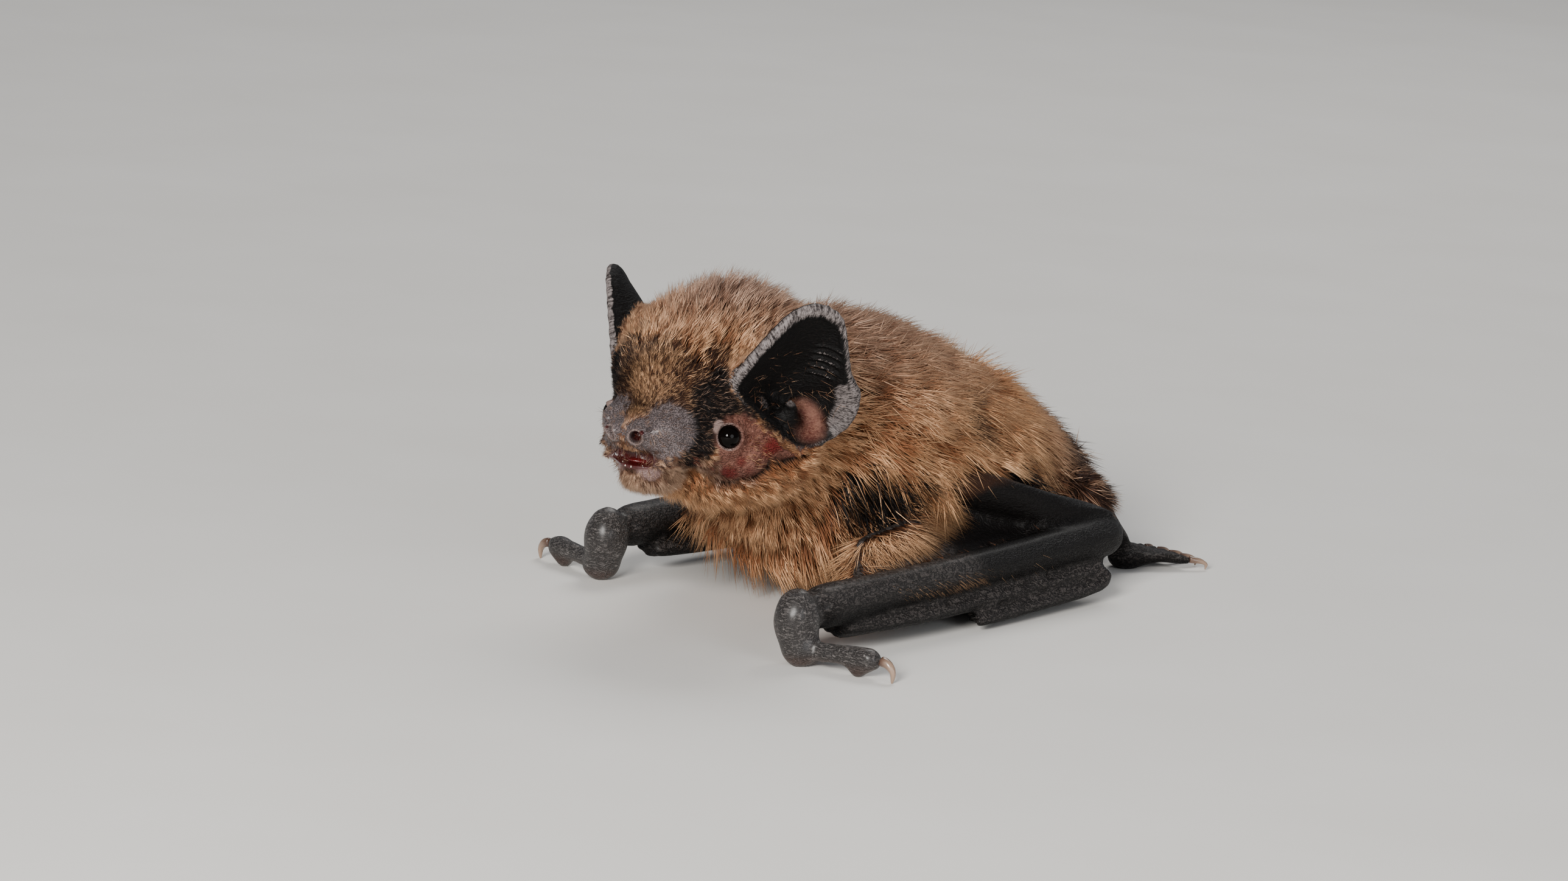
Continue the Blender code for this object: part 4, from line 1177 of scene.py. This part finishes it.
def plant(name, shape, roots, normals, way, rise, run, width, lean, uv, finish, masks):
    """One mesh of tufts: the blade's points laid along a curve from each root."""
    spots, faces = shape
    count, size = len(roots), len(spots)
    s = spots[:, 2][None, :, None]
    across = unit(np.cross(normals, way))
    top = normals[:, None, :] * (rise[:, None, None] * (1.65 * s - 0.65 * s * s))
    on = way[:, None, :] * (run[:, None, None] * (0.35 * s + 0.65 * s * s))
    body = across[:, None, :] * spots[:, 0][None, :, None] + normals[:, None, :] * spots[:, 1][None, :, None]
    middle = roots[:, None, :] + (top + on + lean[:, None, :] * s ** 1.6) * MM
    middle[:, :, 2] = np.maximum(middle[:, :, 2], FLOOR_GAP)
    laid = middle + body * (width[:, None, None] * MM)
    mesh = bpy.data.meshes.new(name)
    mesh.vertices.add(count * size)
    mesh.vertices.foreach_set("co", laid.astype(np.float32).ravel())
    loops = np.concatenate([np.array(f) for f in faces])
    starts = np.cumsum([0] + [len(f) for f in faces[:-1]])
    shift = np.arange(count)[:, None]
    mesh.loops.add(count * len(loops))
    all_loops = (shift * size + loops).ravel().astype(np.int32)
    mesh.loops.foreach_set("vertex_index", all_loops)
    mesh.polygons.add(count * len(faces))
    mesh.polygons.foreach_set("loop_start", (shift * len(loops) + starts).ravel().astype(np.int32))
    mesh.polygons.foreach_set("use_smooth", np.ones(count * len(faces), bool))
    mesh.update(calc_edges=True)
    keep(mesh, "along", np.tile(spots[:, 2], count))
    for mask_name, values in masks.items():
        keep(mesh, mask_name, np.repeat(values, size))
    layer = mesh.uv_layers.new(name="OFBake")
    patch = np.stack((spots[:, 0] * 0.4, spots[:, 2] - 0.5), axis=1) * BAKE_PATCH
    places = (uv[:, None, :] + patch[None, :, :]).reshape(-1, 2)
    layer.data.foreach_set("uv", np.clip(places, 0, 1)[all_loops].astype(np.float32).ravel())
    obj = bpy.data.objects.new(name, mesh)
    show(obj)
    mesh.materials.append(finish)
    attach(obj, "root")
    return obj


# %% [markdown]
# ## The coat's finish
# Each tuft is nearly black at its root and turns golden, grey brown or umber towards the tip,
# by the same masks as the skin. Locks differ a little from one another, and so do tufts.

# %% Fur
fur, wire, shader = new_material("bat_fur", Roughness=0.62, Specular_IOR_Level=0.25)
place = object_place(wire)
patchy = wire.noise(place, 420, 3, 0.6)
along, lock, own = wire.stored("along"), wire.stored("lock"), wire.stored("own")
marks = {name: wire.stored("mark_" + name) for name in ("grey", "umber", "pale", "dusky", "armpit")}
root_tone = (marks["pale"] * 2).between(1.7, 2.0).blend(tone(30, 17, 10), tone(84, 58, 42))
middle = marks["grey"].blend(tone(134, 84, 52), tone(98, 68, 52))
varied = (own * 0.35 + lock * 0.3 + patchy * 0.5).between(0.2, 0.95)
gold = varied.blend(tone(176, 118, 74), tone(238, 190, 144))
ash = varied.blend(tone(150, 114, 94), tone(202, 168, 146))
tips = marks["grey"].blend(gold, ash)
tips = (marks["pale"] * 0.35).blend(tips, tone(236, 196, 156))
# Tufts turn dark brown by this mask: real umber patches on brow, haunch and chin, and painted shade on the
# arm fur.
shade = (marks["umber"] * 1.35 - own * 0.55 - lock * 0.3 - own.between(0.80, 0.84) * 0.5).between(0.0, 0.6)
middle, tips = shade.blend(middle, tone(38, 20, 12)), shade.blend(tips, tone(52, 28, 16))
upper = (along + (lock - 0.5) * 0.42 + (own - 0.5) * 0.25 + (patchy - 0.5) * 0.5).between(0.38, 0.86)
lower = (along + (lock - 0.5) * 0.2).between(0.02, 0.5)
colour = upper.blend(lower.blend(root_tone, middle), tips)
# Fur goes nearly black in the real dark dusky band and, as painted shade, in the hollow and above the folded
# wing.
darkness = (marks["dusky"] + marks["armpit"]) * 2.4 - own * 0.7 - own.between(0.88, 0.92) * 1.6
colour = darkness.between(0.0, 1.0).blend(colour, tone(13, 7, 5))
plug(shader, Base_Color=colour, Roughness=own * 0.2 + 0.5)
print("fur:", len(fur.node_tree.nodes), "shader nodes")

# %% [markdown]
# ## Growing the coat
# One tuft in fourteen leads a lock. The others take its turn and lean towards its root. The body
# is round, so a tuft that runs far along it would stand off it at the tip, and its rise is
# lowered by that sag. On arms, belly and breast the tufts stand out more and hang down.

# %% Grow one part of the coat
FULL = 1.0
LONG_TUFTS = int(104000 * FULL)
SHORT_TUFTS = int(108000 * FULL)
EAR_HAIRS = int(210 * FULL)
WHISKERS = int(300 * FULL)
PIECE_TRIANGLES = 175000
TUFTS_IN_LOCK = 14
LOCK_TURN = 0.32
ARM_TURN = 0.45
SAG_SPAN = 15
LEAN_TO_LOCK = 0.7
LEAN_LIMIT = 0.45
ROOT_DEPTH = 0.05 * MM


def grow(label, shape, count, chance, length, stand, width, stray=0.2):
    """Scatters tufts, draws them together into locks, and cuts the coat into pieces nose to rump."""
    read = scatter(count, chance)
    roots, normals = read(skin_points), unit(read(stand_normals))
    deep, on_head = read(depth), ease(0.3, 0.7, read(soft_kind["head"] + soft_kind["ear"]))
    own = dice.random(count)
    leaders = dice.choice(count, count // TUFTS_IN_LOCK, replace=False)
    tree = KDTree(len(leaders))
    for index, leader in enumerate(leaders):
        tree.insert(roots[leader], index)
    tree.balance()
    leads = np.array([tree.find(root)[1] for root in roots])
    lock_turn = dice.normal(0, LOCK_TURN, len(leaders))[leads] + dice.normal(0, stray, count)
    lock = dice.random(len(leaders))[leads]
    on_arm = np.clip(read(soft_kind["arm"] + soft_kind["apron"]), 0, 1)
    way = lie_of_coat(roots, normals, on_head, on_arm)
    lock_turn += dice.normal(0, ARM_TURN, count) * on_arm
    side_way = unit(np.cross(normals, way))
    way = unit(way * np.cos(lock_turn)[:, None] + side_way * np.sin(lock_turn)[:, None])
    run = (length(deep, on_head) + 0.8 * on_arm) * (0.70 + 0.5 * own)
    sag = run ** 2 / SAG_SPAN
    rise = np.maximum(stand(deep, on_head) - sag, 0.06) * (0.48 + 0.42 * lock + 0.35 * dice.random(count))
    under = ease(0.15, -0.45, normals[:, 2]) * (1 - on_head) * ease(0.5, 1.2, deep)
    heads = in_head(roots)
    chin = ease(-3.1, -3.7, heads[:, 2]) * ease(-4.6, -6.2, heads[:, 1]) * on_head
    breast = ease(0.0, -0.6, normals[:, 1]) * (1 - on_head) * ease(13.0, 8.0, in_trunk(roots)[:, 2])
    breast *= ease(0.5, 1.2, deep)
    rise = rise + (0.75 * under + 0.4 * chin + 0.9 * breast + 0.25 * on_arm) * (0.5 + dice.random(count))
    lean = (roots[leaders][leads] - roots) / MM * LEAN_TO_LOCK
    lean -= normals * np.einsum("ij,ij->i", lean, normals)[:, None]
    lean *= np.minimum(1, run * LEAN_LIMIT / np.maximum(lengths(lean), 1e-6))[:, None]
    lean[:, 2] -= 0.5 * under + 0.8 * breast + 0.9 * on_arm
    lean[:, 1] += 0.3 * on_arm
    uv = bake_places(roots)
    masks = {"lock": lock, "own": own}
    masks.update({"mark_" + name: read(mark[name]) for name in ("grey", "umber", "pale", "dusky", "armpit")})
    masks["mark_pale"] = masks["mark_pale"] * (1 - on_arm)
    # Painted shade: arm fur is darkened because its flat tufts cast little shadow of their own.
    masks["mark_umber"] = np.maximum(masks["mark_umber"], 0.55 * on_arm)
    broad = width(deep, on_head) * (0.8 + 0.4 * dice.random(count))
    order = np.argsort(roots[:, 1])
    per_tuft = sum(len(f) - 2 for f in shape[1])
    parts = np.array_split(order, max(1, math.ceil(count * per_tuft / PIECE_TRIANGLES)))
    sunk = roots - normals * ROOT_DEPTH
    for number, rows in enumerate(parts):
        plant(f"{label}_{number + 1}", shape, sunk[rows], normals[rows], way[rows], rise[rows],
              run[rows], broad[rows], lean[rows], uv[rows], fur,
              {name: values[rows] for name, values in masks.items()})
    print(label, count, "tufts in", len(parts), "pieces,", count * per_tuft, "triangles")


# %% Grow the long and the short coat
is_long = ease(0.25, 0.6, depth)
long_chance = weight * is_long[corners].mean(axis=1)
short_chance = weight * (1 - is_long)[corners].mean(axis=1)
grow("coat", long_blade, LONG_TUFTS, long_chance,
     lambda deep, on_head: (0.6 + 1.05 * deep) * (1 - on_head) + (0.32 + 0.42 * deep) * on_head,
     lambda deep, on_head: deep + 0.05,
     lambda deep, on_head: 0.034 - 0.012 * on_head)
grow("short_coat", short_blade, SHORT_TUFTS, short_chance,
     lambda deep, on_head: 0.28 + 1.0 * deep + 1.6 * (1 - on_head),
     lambda deep, on_head: 0.12 + 0.95 * deep + 0.5 * (1 - on_head),
     lambda deep, on_head: 0.014 + 0.012 * deep + 0.014 * (1 - on_head))

# %% [markdown]
# ## Loose hairs
# About a hundred pale hairs cross the black scoop of each ear, and stiff whiskers stand on the
# muzzle, lips and chin. They are the short blades again, thinner and further apart.

# %% Ear hairs and whiskers
def even(value):
    return lambda deep, on_head: np.full(len(deep), value)


in_scoop = soft_kind["ear"] * ease(0.1, 0.5, facing) * (around_ear(q)[0] < 0.75)
front_tuft = soft_kind["ear"] * (np.hypot(q[:, 0] + 2.2, q[:, 1] - 0.8) < 0.9)
in_scoop = in_scoop * ease(4.5, 0.5, q[:, 1]) + front_tuft
mark["pale"] = np.maximum(mark["pale"], soft_kind["ear"])
grow("ear_hairs", short_blade, EAR_HAIRS, triangle_size * in_scoop[corners].mean(axis=1),
     even(0.85), even(0.35), even(0.011), stray=1.0)
on_jaw = ease(-5.0, -6.5, p[:, 1]) * ease(-1.2, -1.8, p[:, 2])
whiskered = soft_kind["head"] * (mark["muzzle"] * 0.25 + mark["lip"] + on_jaw)
grow("whiskers", short_blade, WHISKERS, triangle_size * whiskered[corners].mean(axis=1),
     even(0.65), even(0.60), even(0.013))
